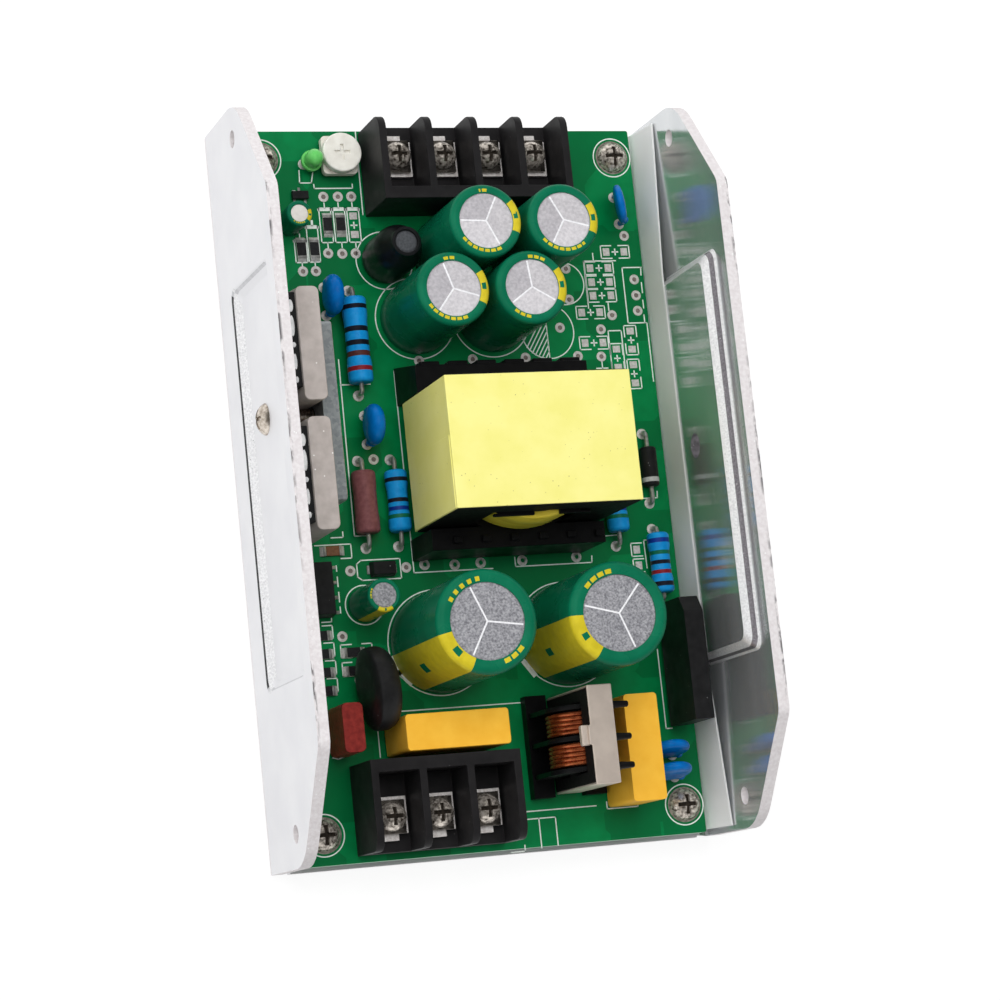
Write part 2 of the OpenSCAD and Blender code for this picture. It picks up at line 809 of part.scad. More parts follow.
choke_spool_l = choke_l - 2 * choke_end - 2 * choke_clear;
choke_bay = (choke_spool_l - 3 * choke_flange_t) / 2;

module choke_bobbin() color("black") at_choke() difference() {
    union() {
        translate([0, 0, choke_axis_z]) along_board(choke_spool_l) circle(d = choke_sleeve_d);
        for (i = [-1 : 1])
            translate([0, i * (choke_bay + choke_flange_t), 0])
                along_board(choke_flange_t) {
                    translate([0, choke_axis_z]) circle(d = choke_flange_d);
                    translate([-choke_flange_d / 2, 0]) square([choke_flange_d, choke_axis_z]);
                }
        for (side = [-1, 1])
            translate([
                side * ((choke_flange_d - choke_rail_w) / 2 + choke_rail_out) - choke_rail_w / 2,
                -choke_rail_l / 2, 0
            ])
                cube([choke_rail_w, choke_rail_l, choke_rail_h]);
    }
    along_board(choke_l) {
        limb = choke_limb + 2 * choke_clear;
        translate([-limb / 2, -1]) square([limb, choke_base_lift + choke_base_limb_h + choke_clear + 1]);
        translate([-limb / 2, choke_axis_z - choke_limb_h / 2 - choke_clear])
            square([limb, choke_limb_h + 2 * choke_clear]);
    }
}

module choke_windings() color("chocolate") at_choke()
    for (side = [-1, 1])
        translate([0, side * (choke_bay + choke_flange_t) / 2, choke_axis_z])
            rotate([90, 0, 0])
                rotate_extrude() {
                    inner = choke_sleeve_d / 2 + 0.05;
                    outer = choke_flange_d / 2 - choke_wire_d;
                    width = choke_turns * choke_wire_d * 0.95;
                    translate([inner, -width / 2]) square([outer - inner, width]);
                    for (i = [0 : choke_turns - 1])
                        translate([outer, (i - (choke_turns - 1) / 2) * choke_wire_d * 0.95])
                            circle(d = choke_wire_d * 0.94, $fn = 16);
                }

// Moulded box on two feet
module box_part(size, r) {
    translate([0, 0, box_foot]) round_box(size, r);
    for (end = [-1, 1])
        translate([
            box_foot - size[0] / 2, end * (size[1] / 2 - box_foot_inset - box_foot_w / 2) - box_foot_w / 2, 0
        ])
            cube([size[0] - 2 * box_foot, box_foot_w, box_foot]);
}

box_cap_size = [box_cap_t, box_cap_l, box_cap_h];
module box_capacitor_1() color("goldenrod")
    on_board(box_1_at) rotate(90) box_part(box_cap_size, box_edge_r);
module box_capacitor_2() color("goldenrod") on_board(box_2_at) box_part(box_cap_size, box_edge_r);
module film_capacitor() color("firebrick") on_board(film_at) box_part(film_size, film_edge_r);

// Round part on two leads, its flat side facing along X, leaning on the leads
module disc_part(d, t, pitch, seat, lean = 0) {
    translate([0, 0, seat])
        rotate([0, lean, 0])
            translate([0, 0, d / 2])
                rotate([0, 90, 0])
                    rotate_extrude()
                        polygon(round_outline(
                            [[0, -t / 2], [d / 2, -t / 2], [d / 2, t / 2], [0, t / 2]],
                            [0, t * 0.48, t * 0.48, 0]
                        ));
    for (side = [-1, 1]) translate([0, side * pitch / 2, 0]) cylinder(d = lead_d, h = seat + d * 0.22);
}

module thermistor() color("black")
    on_board(thermistor_at) rotate(thermistor_turn)
        disc_part(thermistor_d, thermistor_t, thermistor_pitch, thermistor_seat);
module blue_disc(t, lean = 0) color("dodgerblue") disc_part(disc_d, t, disc_pitch, disc_seat, lean);
module disc_capacitor_1() on_board(disc_rear_at) blue_disc(disc_t);
module disc_capacitor_2() on_board(disc_mid_at) blue_disc(disc_t);
module disc_capacitor_3() on_board(disc_right_at) blue_disc(slim_disc_t, disc_right_lean);
module disc_capacitor_pair()
    for (y = disc_pair_y) on_board([disc_pair_x, y]) rotate(90) blue_disc(slim_disc_t, disc_pair_lean);

// Axial part along Y with bent leads; size is diameter and length
module bent_leads(span, height) {
    for (end = [0, 180])
        rotate(end) {
            translate([0, span / 2 - lead_bend_r, height])
                rotate([90, 0, 0]) cylinder(d = lead_d, h = span / 2 - lead_bend_r);
            translate([0, span / 2 - lead_bend_r, height - lead_bend_r])
                rotate([90, 0, 90])
                    rotate_extrude(angle = 90) translate([lead_bend_r, 0]) circle(d = lead_d, $fn = 24);
            translate([0, span / 2, 0]) cylinder(d = lead_d, h = height - lead_bend_r);
        }
}

module axial_part(size, span, waist) {
    r = size[0] / 2;
    half = size[1] / 2;
    cap = size[1] * 0.2;
    height = r + lead_gap;
    translate([0, 0, height])
        rotate([90, 0, 0])
            rotate_extrude()
                polygon(round_outline(
                    [
                        [0, -half], [r, -half], [r, cap - half], [r - waist, cap - half + 2 * waist],
                        [r - waist, half - cap - 2 * waist], [r, half - cap], [r, half], [0, half]
                    ],
                    [0, axial_round, 0, 0, 0, 0, axial_round, 0]
                ));
    bent_leads(span, height);
}

module power_resistor() color("steelblue")
    on_board(power_resistor_at) axial_part(power_resistor_size, power_resistor_span, 0.15);
module sense_resistor() color("rosybrown")
    on_board(sense_resistor_at) axial_part(sense_resistor_size, sense_resistor_span, 0.1);
module film_resistors() color("deepskyblue")
    for (i = [0 : len(film_resistor_places) - 1])
        on_board(film_resistor_places[i]) axial_part(film_resistor_size, film_resistor_span[i], 0.2);
module axial_diode() color("black") on_board(diode_at) axial_part(diode_size, diode_span, 0.02);

// Bridge rectifier stands on four leads
module bridge_rectifier() color("black") on_board(bridge_at) {
    half = bridge_size[1] / 2;
    translate([-bridge_size[0] / 2, 0, bridge_seat])
        rotate([90, 0, 90])
            linear_extrude(bridge_size[0])
                polygon([
                    [-half, 0], [half, 0], [half, bridge_size[2] - bridge_cut[1]],
                    [half - bridge_cut[0], bridge_size[2]], [-half, bridge_size[2]]
                ]);
    for (i = [0 : 3])
        translate([0, (i - 1.5) * bridge_pitch, 0]) cylinder(d = bridge_lead_d, h = bridge_seat + 1);
}

// Power transistors in silicone caps, held to the left wall by one bar
cap_places = [clamp_y + (cap_gap + cap_w) / 2, clamp_y - (cap_gap + cap_w) / 2];
transistor_t = cap_t - 2 * cap_wall - 2 * transistor_play;
transistor_top = cap_top - cap_wall - transistor_play;

module power_transistors() color("black")
    for (y = cap_places) on_board([cap_x, y]) {
        low = transistor_top - transistor_h;
        translate([-transistor_t / 2, -transistor_w / 2, low])
            cube([transistor_t, transistor_w, transistor_h]);
        for (i = [-1 : 1])
            translate([-transistor_lead[0] / 2, i * transistor_pitch - transistor_lead[1] / 2, 0])
                cube([transistor_lead[0], transistor_lead[1], low]);
    }

module insulating_cap(i) color("rosybrown") on_board([cap_x, cap_places[i]]) difference() {
    translate([0, 0, cap_bottom]) round_box([cap_t, cap_w, cap_top - cap_bottom], 1);
    translate([0, 0, cap_bottom - 1])
        round_box([cap_t - 2 * cap_wall, cap_w - 4 * cap_wall, cap_top - cap_bottom + 1 - cap_wall], 0.5);
}

module at_clamp(x) translate([x, clamp_y, wall_hole_z]) children();

module clamp_bar() color("lightslategray") at_clamp(bar_x) difference() {
    rotate([90, 0, 90])
        linear_extrude(bar_t)
            polygon(round_outline(
                [
                    [-bar_l / 2, -bar_h / 2], [bar_l / 2, -bar_h / 2],
                    [bar_l / 2, bar_h / 2], [-bar_l / 2, bar_h / 2]
                ],
                [1, 1, 1, 1]
            ));
    translate([-1, 0, 0]) rotate([0, 90, 0]) cylinder(d = screw_d + 2 * screw_clear, h = bar_t + 2);
}

module clamp_screw() color("silver") {
    seat_x = pocket_depth - outer_half;
    at_clamp(seat_x) rotate([0, -90, 0]) cross_screw(clamp_head_d, screw_head_h, bar_x + bar_t - seat_x);
}

// Trimmer: the dial turns on the post of its base
dial_z = trimmer_foot + trimmer_base_size[2] + dial_lift;

module trimmer_base() color("antiquewhite") on_board(trimmer_at) {
    translate([0, 0, trimmer_foot]) round_box(trimmer_base_size, 0.8);
    translate([0, 0, trimmer_foot])
        cylinder(d = trimmer_post_d, h = dial_z - trimmer_foot + dial_bore_h - dial_end_gap);
    leg_y = trimmer_base_size[1] / 2 - trimmer_leg[1];
    for (at = [[-trimmer_leg_x, -leg_y], [trimmer_leg_x, -leg_y], [0, leg_y]])
        translate([at[0] - trimmer_leg[0] / 2, at[1] - trimmer_leg[1] / 2, 0])
            cube([trimmer_leg[0], trimmer_leg[1], trimmer_foot]);
}

module trimmer_dial() color("white") on_board(trimmer_at) translate([0, 0, dial_z]) difference() {
    rotate_extrude()
        polygon(round_outline(
            [[0, 0], [dial_d / 2, 0], [dial_d / 2, dial_t], [0, dial_t]], [0, dial_round, dial_round, 0]
        ));
    translate([0, 0, -1]) cylinder(d = trimmer_post_d + 2 * dial_bore_clear, h = 1 + dial_bore_h);
    for (a = [0, 90])
        rotate(a)
            translate([-dial_slot[0] / 2, -dial_slot[1] / 2, dial_t - dial_slot[2]]) cube(dial_slot);
}

module indicator_lamp() color("limegreen") on_board(lamp_at) {
    translate([0, 0, lamp_seat]) {
        cylinder(d = lamp_flange_d, h = lamp_flange_h);
        cylinder(d = lamp_d, h = lamp_h - lamp_d / 2);
        translate([0, 0, lamp_h - lamp_d / 2]) sphere(d = lamp_d);
    }
    for (side = [-1, 1])
        translate([side * lamp_pitch / 2, 0, 0]) cylinder(d = lead_d * 0.7, h = lamp_seat + lamp_flange_h);
}

// Drum inductor in shrunk tube with the core's end showing on top
module output_inductor() color("black") on_board(inductor_at)
    rotate_extrude()
        polygon(round_outline(
            [
                [0, 0], [inductor_d / 2, 0], [inductor_d / 2, inductor_h * 0.7],
                [inductor_top_d / 2, inductor_h], [inductor_eye_d / 2, inductor_h],
                [inductor_eye_d / 2, inductor_h - inductor_eye_depth], [0, inductor_h - inductor_eye_depth]
            ],
            [0, 0.8, 2.2, 0.5, 0, 0, 0]
        ));

// Parts soldered flat on the board
module gull_pins(count, pitch, reach) {
    for (side = [0, 180], i = [0 : count - 1])
        rotate(side)
            translate([reach, (i - (count - 1) / 2) * pitch - ic_pin[1] / 2, 0]) {
                cube([ic_pin[0], ic_pin[1], ic_pin[2]]);
                translate([-0.3, 0, 0]) cube([ic_pin[2] + 0.3, ic_pin[1], ic_size[2] * 0.5]);
            }
}

module control_chip() color("black") on_board(ic_at) {
    translate([0, 0, ic_seat]) leaning_box(ic_size, ic_taper);
    gull_pins(ic_pins, ic_pin_pitch, ic_size[0] / 2 - 0.1);
}

module surface_diode() color("black") on_board(surface_diode_at) {
    body = [surface_diode_size[0], surface_diode_size[1], surface_diode_size[2] - surface_tab[2]];
    translate([0, 0, surface_tab[2]]) leaning_box(body, surface_taper);
    for (side = [0, 180])
        rotate(side)
            translate([surface_diode_size[0] / 2 - 0.4, -surface_tab[1] / 2, 0]) cube(surface_tab);
}

module chip() {
    half = chip_size / 2;
    translate([-half[0], -half[1], 0]) cube(chip_size);
    for (end = [-1, 1])
        translate([0, end * (half[1] - chip_cap_t / 2), (chip_size[2] + chip_cap_grow) / 2])
            cube(
                [
                    chip_size[0] + 2 * chip_cap_grow, chip_cap_t + 2 * chip_cap_grow,
                    chip_size[2] + chip_cap_grow
                ],
                center = true
            );
}

module chip_parts() color("slategray") {
    for (at = chips_along) on_board(at) chip();
    for (at = chips_across) on_board(at) rotate(90) chip();
    on_board(regulator_at) rotate(90) leaning_box(regulator_size, surface_taper);
}

chassis();
insulating_strip();
standoffs();
circuit_board();
board_screws();
output_terminal_housing();
output_terminal_contacts();
output_terminal_clamps();
output_terminal_screws();
input_terminal_housing();
input_terminal_contacts();
input_terminal_clamps();
input_terminal_screws();
transformer_core();
transformer_tape();
transformer_bobbin();
transformer_winding();
transformer_pins();
bulk_can(0);  // bulk_capacitor_1_can
bulk_sleeve(0);  // bulk_capacitor_1_sleeve
bulk_can(1);  // bulk_capacitor_2_can
bulk_sleeve(1);  // bulk_capacitor_2_sleeve
out_can(0);  // output_capacitor_1_can
out_sleeve(0);  // output_capacitor_1_sleeve
out_can(1);  // output_capacitor_2_can
out_sleeve(1);  // output_capacitor_2_sleeve
out_can(2);  // output_capacitor_3_can
out_sleeve(2);  // output_capacitor_3_sleeve
out_can(3);  // output_capacitor_4_can
out_sleeve(3);  // output_capacitor_4_sleeve
supply_capacitor();
reference_capacitor();
choke_core();
choke_clip();
choke_bobbin();
choke_windings();
box_capacitor_1();
box_capacitor_2();
film_capacitor();
thermistor();
disc_capacitor_1();
disc_capacitor_2();
disc_capacitor_3();
disc_capacitor_pair();
power_resistor();
sense_resistor();
film_resistors();
axial_diode();
bridge_rectifier();
power_transistors();
insulating_cap(0);  // insulating_cap_1
insulating_cap(1);  // insulating_cap_2
clamp_bar();
clamp_screw();
trimmer_base();
trimmer_dial();
indicator_lamp();
output_inductor();
control_chip();
surface_diode();
chip_parts();
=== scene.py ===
"""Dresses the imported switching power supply: finishes, small parts, board print, light and camera."""

from __future__ import annotations

import logging
import math
from dataclasses import dataclass, field
from enum import Enum
from typing import Callable, Sequence

import bmesh
import bpy
from bmesh.types import BMesh
from mathutils import Color, Euler, Matrix, Vector

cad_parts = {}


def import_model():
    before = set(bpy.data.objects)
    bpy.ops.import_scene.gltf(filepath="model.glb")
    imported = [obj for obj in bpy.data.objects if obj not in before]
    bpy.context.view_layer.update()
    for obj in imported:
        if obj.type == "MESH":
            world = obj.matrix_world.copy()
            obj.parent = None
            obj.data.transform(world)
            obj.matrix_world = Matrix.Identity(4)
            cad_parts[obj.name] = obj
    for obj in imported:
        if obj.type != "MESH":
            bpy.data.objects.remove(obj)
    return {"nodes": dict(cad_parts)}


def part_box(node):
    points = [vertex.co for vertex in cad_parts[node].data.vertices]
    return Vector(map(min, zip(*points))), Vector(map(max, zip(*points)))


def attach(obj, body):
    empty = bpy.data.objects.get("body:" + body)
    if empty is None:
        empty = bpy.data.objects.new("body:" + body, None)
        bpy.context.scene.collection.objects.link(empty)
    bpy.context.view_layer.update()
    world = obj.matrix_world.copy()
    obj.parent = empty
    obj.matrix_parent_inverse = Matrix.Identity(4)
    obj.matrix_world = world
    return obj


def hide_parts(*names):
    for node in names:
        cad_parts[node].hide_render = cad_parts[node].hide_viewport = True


LOG = logging.getLogger("power_supply")
MM = 0.001
BODY = "supply"
DIAL_BODY = "dial"
WELD = 1e-4

Colour = tuple[float, float, float, float]
Points = Sequence[Sequence[float]]
Test = Callable[[Vector], bool]


class Slot(Enum):
    """Material slots of the record, which each piece is given but does not use."""

    ALUMINIUM = "aluminium"
    ZINC_STEEL = "zinc_steel"
    NICKEL = "nickel"
    TIN = "tin"
    BOARD_GREEN = "board_green"
    BLACK_MOULDING = "black_moulding"
    BLACK_EPOXY = "black_epoxy"
    BLACK_SHRINK = "black_shrink"
    FERRITE = "ferrite"
    YELLOW_TAPE = "yellow_tape"
    GREEN_SLEEVE = "green_sleeve"
    CAN_ALUMINIUM = "can_aluminium"
    COPPER = "copper"
    AMBER_BOX = "amber_box"
    RED_DIP = "red_dip"
    BLUE_DIP = "blue_dip"
    BLUE_LACQUER = "blue_lacquer"
    MAUVE_CEMENT = "mauve_cement"
    GREY_SILICONE = "grey_silicone"
    BEIGE_MOULDING = "beige_moulding"
    WHITE_MOULDING = "white_moulding"
    GREEN_LENS = "green_lens"
    CHIP_CERAMIC = "chip_ceramic"
    MILKY_FILM = "milky_film"


def tone(red: int, green: int, blue: int) -> Colour:
    """Return the linear colour of one written as the eye reads it.

    Args:
        red: Red from 0 to 255.
        green: Green from 0 to 255.
        blue: Blue from 0 to 255.

    Returns:
        The colour for a shader socket.
    """
    linear = Color((red / 255, green / 255, blue / 255)).from_srgb_to_scene_linear()
    return (*linear, 1.0)


class Nodes:
    """The node tree of one material while it is laid out."""

    def __init__(self, name: str) -> None:
        """Start a material that holds a plain shader."""
        self.material = bpy.data.materials.new(name)
        self.material.use_nodes = True
        self.tree = self.material.node_tree
        self.shader = self.tree.nodes["Principled BSDF"]
        self.place = self.add("ShaderNodeTexCoord").outputs["Object"]

    def add(self, kind: str, values: dict[str | int, object] | None = None, **settings: object) -> bpy.types.Node:
        """Add a node.

        Args:
            kind: The node's type.
            values: Socket names with the value or the socket that feeds them.
            **settings: The node's own settings.

        Returns:
            The node.
        """
        node = self.tree.nodes.new(kind)
        for key, value in settings.items():
            setattr(node, key, value)
        for key, value in (values or {}).items():
            self.feed(node.inputs[key], value)
        return node

    def feed(self, socket: bpy.types.NodeSocket, value: object) -> None:
        """Link a socket to another one, or set its value."""
        if isinstance(value, bpy.types.NodeSocket):
            self.tree.links.new(value, socket)
        else:
            socket.default_value = value

    def stretched(self, size: float, stretch: Sequence[float] = (1, 1, 1)) -> bpy.types.NodeSocket:
        """Return the place on the piece, counted in pattern sizes of so many millimetres."""
        scale = [1 / (MM * size * part) for part in stretch]
        return self.add("ShaderNodeMapping", {"Vector": self.place, "Scale": scale}).outputs[0]

    def noise(self, size: float, detail: float = 3.0, stretch: Sequence[float] = (1, 1, 1)) -> bpy.types.NodeSocket:
        """Return a cloudy pattern from 0 to 1.

        Args:
            size: Size of the clouds in millimetres.
            detail: Octaves of finer clouds.
            stretch: How much longer the clouds are along each axis.

        Returns:
            The pattern's value.
        """
        values = {"Vector": self.stretched(size, stretch), "Scale": 1.0, "Detail": detail}
        return self.add("ShaderNodeTexNoise", values).outputs[0]

    def cells(self, size: float) -> bpy.types.NodeSocket:
        """Return the distance from scattered points, in pattern sizes of so many millimetres."""
        values = {"Vector": self.stretched(size), "Scale": 1.0}
        return self.add("ShaderNodeTexVoronoi", values).outputs["Distance"]

    def span(self, value: bpy.types.NodeSocket, limits: Sequence[float], to: Sequence[float]) -> bpy.types.NodeSocket:
        """Return a value moved from one span to another and held inside it."""
        ends = {"From Min": limits[0], "From Max": limits[1], "To Min": to[0], "To Max": to[1]}
        return self.add("ShaderNodeMapRange", {"Value": value, **ends}, clamp=True).outputs[0]

    def mix(self, share: object, first: object, second: object) -> bpy.types.NodeSocket:
        """Return a colour between two, by the second one's share."""
        return self.add("ShaderNodeMix", {0: share, 6: first, 7: second}, data_type="RGBA").outputs[2]

    def math(self, operation: str, first: object, second: object = 0.0) -> bpy.types.NodeSocket:
        """Return a sum, product or other step on two values."""
        return self.add("ShaderNodeMath", {0: first, 1: second}, operation=operation).outputs[0]

    def facing(self, axis: str) -> bpy.types.NodeSocket:
        """Return how far the surface faces along an axis, from 0 to 1 either way."""
        normal = self.add("ShaderNodeNewGeometry").outputs["Normal"]
        parts = self.add("ShaderNodeSeparateXYZ", {0: normal}).outputs
        return self.math("ABSOLUTE", parts[axis])

    def emboss(self, height: bpy.types.NodeSocket, strength: float, depth: float) -> None:
        """Give the shader a relief from a height, with its depth in millimetres."""
        values = {"Height": height, "Strength": strength, "Distance": depth * MM}
        self.feed(self.shader.inputs["Normal"], self.add("ShaderNodeBump", values).outputs[0])


@dataclass(frozen=True)
class Finish:
    """A surface with grain in its colour, gloss and relief, and with specks where it has them."""

    name: str
    colour: Colour
    shade: Colour
    roughness: float
    metallic: float = 0.0
    grain: float = 1.5
    drift: float = 0.06
    relief: float = 0.15
    relief_size: float = 0.25
    relief_depth: float = 0.05
    specular: float = 0.5
    coat: float = 0.0
    subsurface: float = 0.0
    scatter: float = 0.8
    stretch: tuple[float, float, float] = (1.0, 1.0, 1.0)
    speck: Colour | None = None
    speck_size: float = 0.8
    speck_share: float = 0.1

    def material(self) -> bpy.types.Material:
        """Return the finish's material, made on its first use."""
        made = bpy.data.materials.get(f"{self.name}_finish")
        if made is None:
            nodes = Nodes(f"{self.name}_finish")
            self.paint(nodes)
            made = nodes.material
        return made

    def paint(self, nodes: Nodes) -> None:
        """Lay out the finish's nodes."""
        plain = {
            "Metallic": self.metallic,
            "Specular IOR Level": self.specular,
            "Coat Weight": self.coat,
            "Coat Roughness": 0.12,
            "Subsurface Weight": self.subsurface,
            "Subsurface Radius": (self.scatter * MM, self.scatter * MM, self.scatter * MM),
            "Subsurface Scale": 1.0,
        }
        for name, value in plain.items():
            nodes.shader.inputs[name].default_value = value
        nodes.feed(nodes.shader.inputs["Base Color"], self.pattern(nodes))
        gloss = (max(self.roughness - self.drift, 0.02), self.roughness + self.drift)
        worn = nodes.noise(self.grain * 1.7, 4.0, self.stretch)
        nodes.feed(nodes.shader.inputs["Roughness"], nodes.span(worn, (0.3, 0.7), gloss))
        height = nodes.noise(self.relief_size, 3.0, self.stretch)
        nodes.emboss(height, self.relief, self.relief_depth)

    def pattern(self, nodes: Nodes) -> bpy.types.NodeSocket:
        """Return the surface's colour with its grain and specks."""
        cloud = nodes.span(nodes.noise(self.grain, 4.0, self.stretch), (0.32, 0.68), (0.0, 1.0))
        colour = nodes.mix(cloud, self.colour, self.shade)
        if self.speck is not None:
            near = nodes.span(nodes.cells(self.speck_size), (0.6 * self.speck_share, self.speck_share), (1.0, 0.0))
            patchy = nodes.span(nodes.noise(self.speck_size * 6, 2.0), (0.45, 0.6), (0.0, 1.0))
            colour = nodes.mix(nodes.math("MULTIPLY", near, patchy), colour, self.speck)
        return colour


@dataclass(frozen=True)
class CutFinish(Finish):
    """Sheared edge of the sheet: pale, with dark wear along the outer edges of the wall tops."""

    stain: Colour = (0.05, 0.05, 0.05, 1.0)
    worn_from: float = 39.95
    worn_over: float = 0.35
    top: float = 37.4

    def pattern(self, nodes: Nodes) -> bpy.types.NodeSocket:
        """Return the pale edge with broken stains where it was worn."""
        pale = super().pattern(nodes)
        parts = nodes.add("ShaderNodeSeparateXYZ", {0: nodes.place}).outputs
        reach = nodes.math("ABSOLUTE", parts["X"])
        limits = (self.worn_from * MM, (self.worn_from + self.worn_over) * MM)
        outer = nodes.span(reach, limits, (0.0, 1.0))
        high = nodes.span(parts["Z"], (self.top * MM, (self.top + 0.3) * MM), (0.0, 1.0))
        broken = nodes.span(nodes.noise(0.7, 4.0, (1, 3, 1)), (0.45, 0.56), (0.0, 1.0))
        patches = nodes.span(nodes.noise(14.0, 1.0), (0.4, 0.55), (0.1, 1.0))
        share = nodes.math("MULTIPLY", nodes.math("MULTIPLY", outer, high), nodes.math("MULTIPLY", broken, patches))
        return nodes.mix(share, pale, self.stain)


@dataclass(frozen=True)
class BoardFinish(Finish):
    """Solder mask over copper tracks, with the bare laminate on the board's edge."""

    laminate: Colour = (0.3, 0.3, 0.2, 1.0)
    track: Colour = (0.0, 0.1, 0.05, 1.0)

    def pattern(self, nodes: Nodes) -> bpy.types.NodeSocket:
        """Return the mask's colour, paler over copper, and the laminate's on the edge."""
        mask = super().pattern(nodes)
        values = {"Vector": nodes.stretched(9.0), "Scale": 1.0, "Randomness": 1.0}
        pour = nodes.add("ShaderNodeTexVoronoi", values, distance="CHEBYCHEV", feature="F1").outputs["Color"]
        filled = nodes.span(nodes.add("ShaderNodeSeparateColor", {0: pour}).outputs[0], (0.48, 0.52), (0.0, 0.8))
        mask = nodes.mix(filled, mask, self.track)
        edge = nodes.span(nodes.facing("Z"), (0.4, 0.8), (1.0, 0.0))
        return nodes.mix(edge, mask, self.laminate)


@dataclass(frozen=True)
class SpangleFinish(Finish):
    """Metal whose crystals differ in tone."""

    def pattern(self, nodes: Nodes) -> bpy.types.NodeSocket:
        """Return the tone of each crystal."""
        values = {"Vector": nodes.stretched(self.grain), "Scale": 1.0}
        crystal = nodes.add("ShaderNodeTexVoronoi", values).outputs["Color"]
        share = nodes.add("ShaderNodeSeparateColor", {0: crystal}).outputs[0]
        return nodes.mix(share, self.colour, self.shade)


MIRROR = Finish(
    "rolled_aluminium", tone(222, 224, 226), tone(208, 211, 214), 0.1, 0.74, grain=5.0, drift=0.03, relief=0.5,
    relief_size=0.16, relief_depth=0.02, stretch=(1.0, 60.0, 0.5),
)
SATIN = Finish(
    "satin_aluminium", tone(236, 236, 238), tone(230, 230, 233), 0.5, 0.5, grain=9.0, drift=0.04, relief=0.05,
    relief_size=0.4,
)
CUT = CutFinish(
    "sheared_edge", tone(236, 232, 233), tone(222, 216, 217), 0.55, 0.1, grain=0.6, relief=0.3, specular=0.3,
    speck=tone(250, 250, 250), speck_size=0.9, speck_share=0.16, stain=tone(112, 110, 112),
)
# Partly painted highlight: the pale, less metallic rims show white like the sky's reflection on the bent metal; the
# grey specks are the metal's own.
RIM_HIGHLIGHT = Finish(
    "rim_highlight", tone(244, 244, 245), tone(214, 214, 216), 0.45, 0.3, grain=0.35, relief=0.5, relief_size=0.3,
    speck=tone(150, 150, 152), speck_size=0.8, speck_share=0.14,
)
RIM_SHADE = Finish(
    "rim_shade", tone(150, 146, 151), tone(112, 108, 114), 0.35, 0.5, grain=0.3, relief=0.5, relief_size=0.3,
    speck=tone(226, 224, 228), speck_size=0.7, speck_share=0.16,
)
# Painted shade: a grey band on the steep end of each outer pocket.
FOLD_SHADE = Finish("fold_shade", tone(214, 214, 217), tone(196, 196, 199), 0.5, 0.4, grain=1.2, relief=0.3)
# Painted shadow: a dark line along the lower edge of each outer pocket's opening.
SLIT_SHADOW = Finish("slit_shadow", tone(74, 74, 76), tone(40, 40, 42), 0.6, 0.2, grain=0.8, specular=0.2)
FILM = Finish(
    "milky_film", tone(252, 253, 252), tone(247, 249, 248), 0.5, grain=6.0, relief=0.15, specular=0.25,
    subsurface=1.0, scatter=0.6, stretch=(1.0, 2.0, 1.0),
)
ZINC = SpangleFinish("zinc_plate", tone(164, 169, 171), tone(138, 144, 147), 0.4, 0.5, grain=0.6)
NICKEL = Finish("nickel_plate", tone(224, 214, 202), tone(158, 146, 132), 0.2, 1.0, grain=0.8, relief=0.2, relief_size=0.7)
# Painted shade: a darker copy of the nickel for the terminal clamps, which lie in shade.
SHADED_NICKEL = Finish("shaded_nickel", tone(150, 143, 134), tone(96, 91, 85), 0.3, 1.0, grain=0.7, relief=0.35)
# Tin of leads and pins; also used as a painted highlight on the clamp bar's right edge.
TIN = Finish("tinned_wire_and_edge_highlight", tone(206, 205, 202), tone(156, 155, 153), 0.32, 0.75, grain=0.7, relief=0.25)
SOLDER = Finish("solder", tone(222, 219, 216), tone(190, 186, 182), 0.34, 0.25, grain=0.4, relief=0.4)
STRAP = Finish("strap_steel", tone(222, 208, 195), tone(208, 194, 182), 0.36, 0.5, grain=3.0, relief=0.1)
BOARD = BoardFinish(
    "solder_mask", tone(0, 128, 70), tone(0, 116, 62), 0.36, grain=3.0, relief=0.06, relief_size=1.2,
    specular=0.2, laminate=tone(150, 206, 172), track=tone(0, 102, 54),
)
INK = Finish("legend_ink", tone(236, 242, 237), tone(218, 228, 220), 0.6, grain=0.5, specular=0.2)
HOLE = Finish("hole_shadow", tone(140, 130, 124), tone(104, 96, 92), 0.6, grain=0.4, specular=0.1)
LAND = Finish("screw_land", tone(168, 160, 150), tone(112, 104, 96), 0.35, 0.5, grain=0.7, relief=0.5, relief_size=0.5)
# Painted glints: the grain swings between near-white highlights and dark reflections on the screw heads.
SCREW_GLINTS = Finish(
    "screw_glints", tone(250, 240, 228), tone(66, 56, 46), 0.24, 0.6, grain=0.6, relief=0.9, relief_size=0.6,
    relief_depth=0.12,
)
CONTACT = Finish("tinned_contact", tone(244, 240, 237), tone(206, 199, 195), 0.34, 0.25, grain=0.5, relief=0.4)
# Painted shade in the cross of each screw head.
RECESS_SHADE = Finish("screw_recess_shade", tone(70, 62, 54), tone(44, 40, 36), 0.5, 0.6, grain=0.4, specular=0.2)
BLACK_MOULDING = Finish(
    "black_moulding", tone(31, 30, 31), tone(37, 36, 37), 0.46, grain=2.5, specular=0.12, relief=0.25,
    speck=tone(120, 120, 118), speck_size=2.2, speck_share=0.05,
)
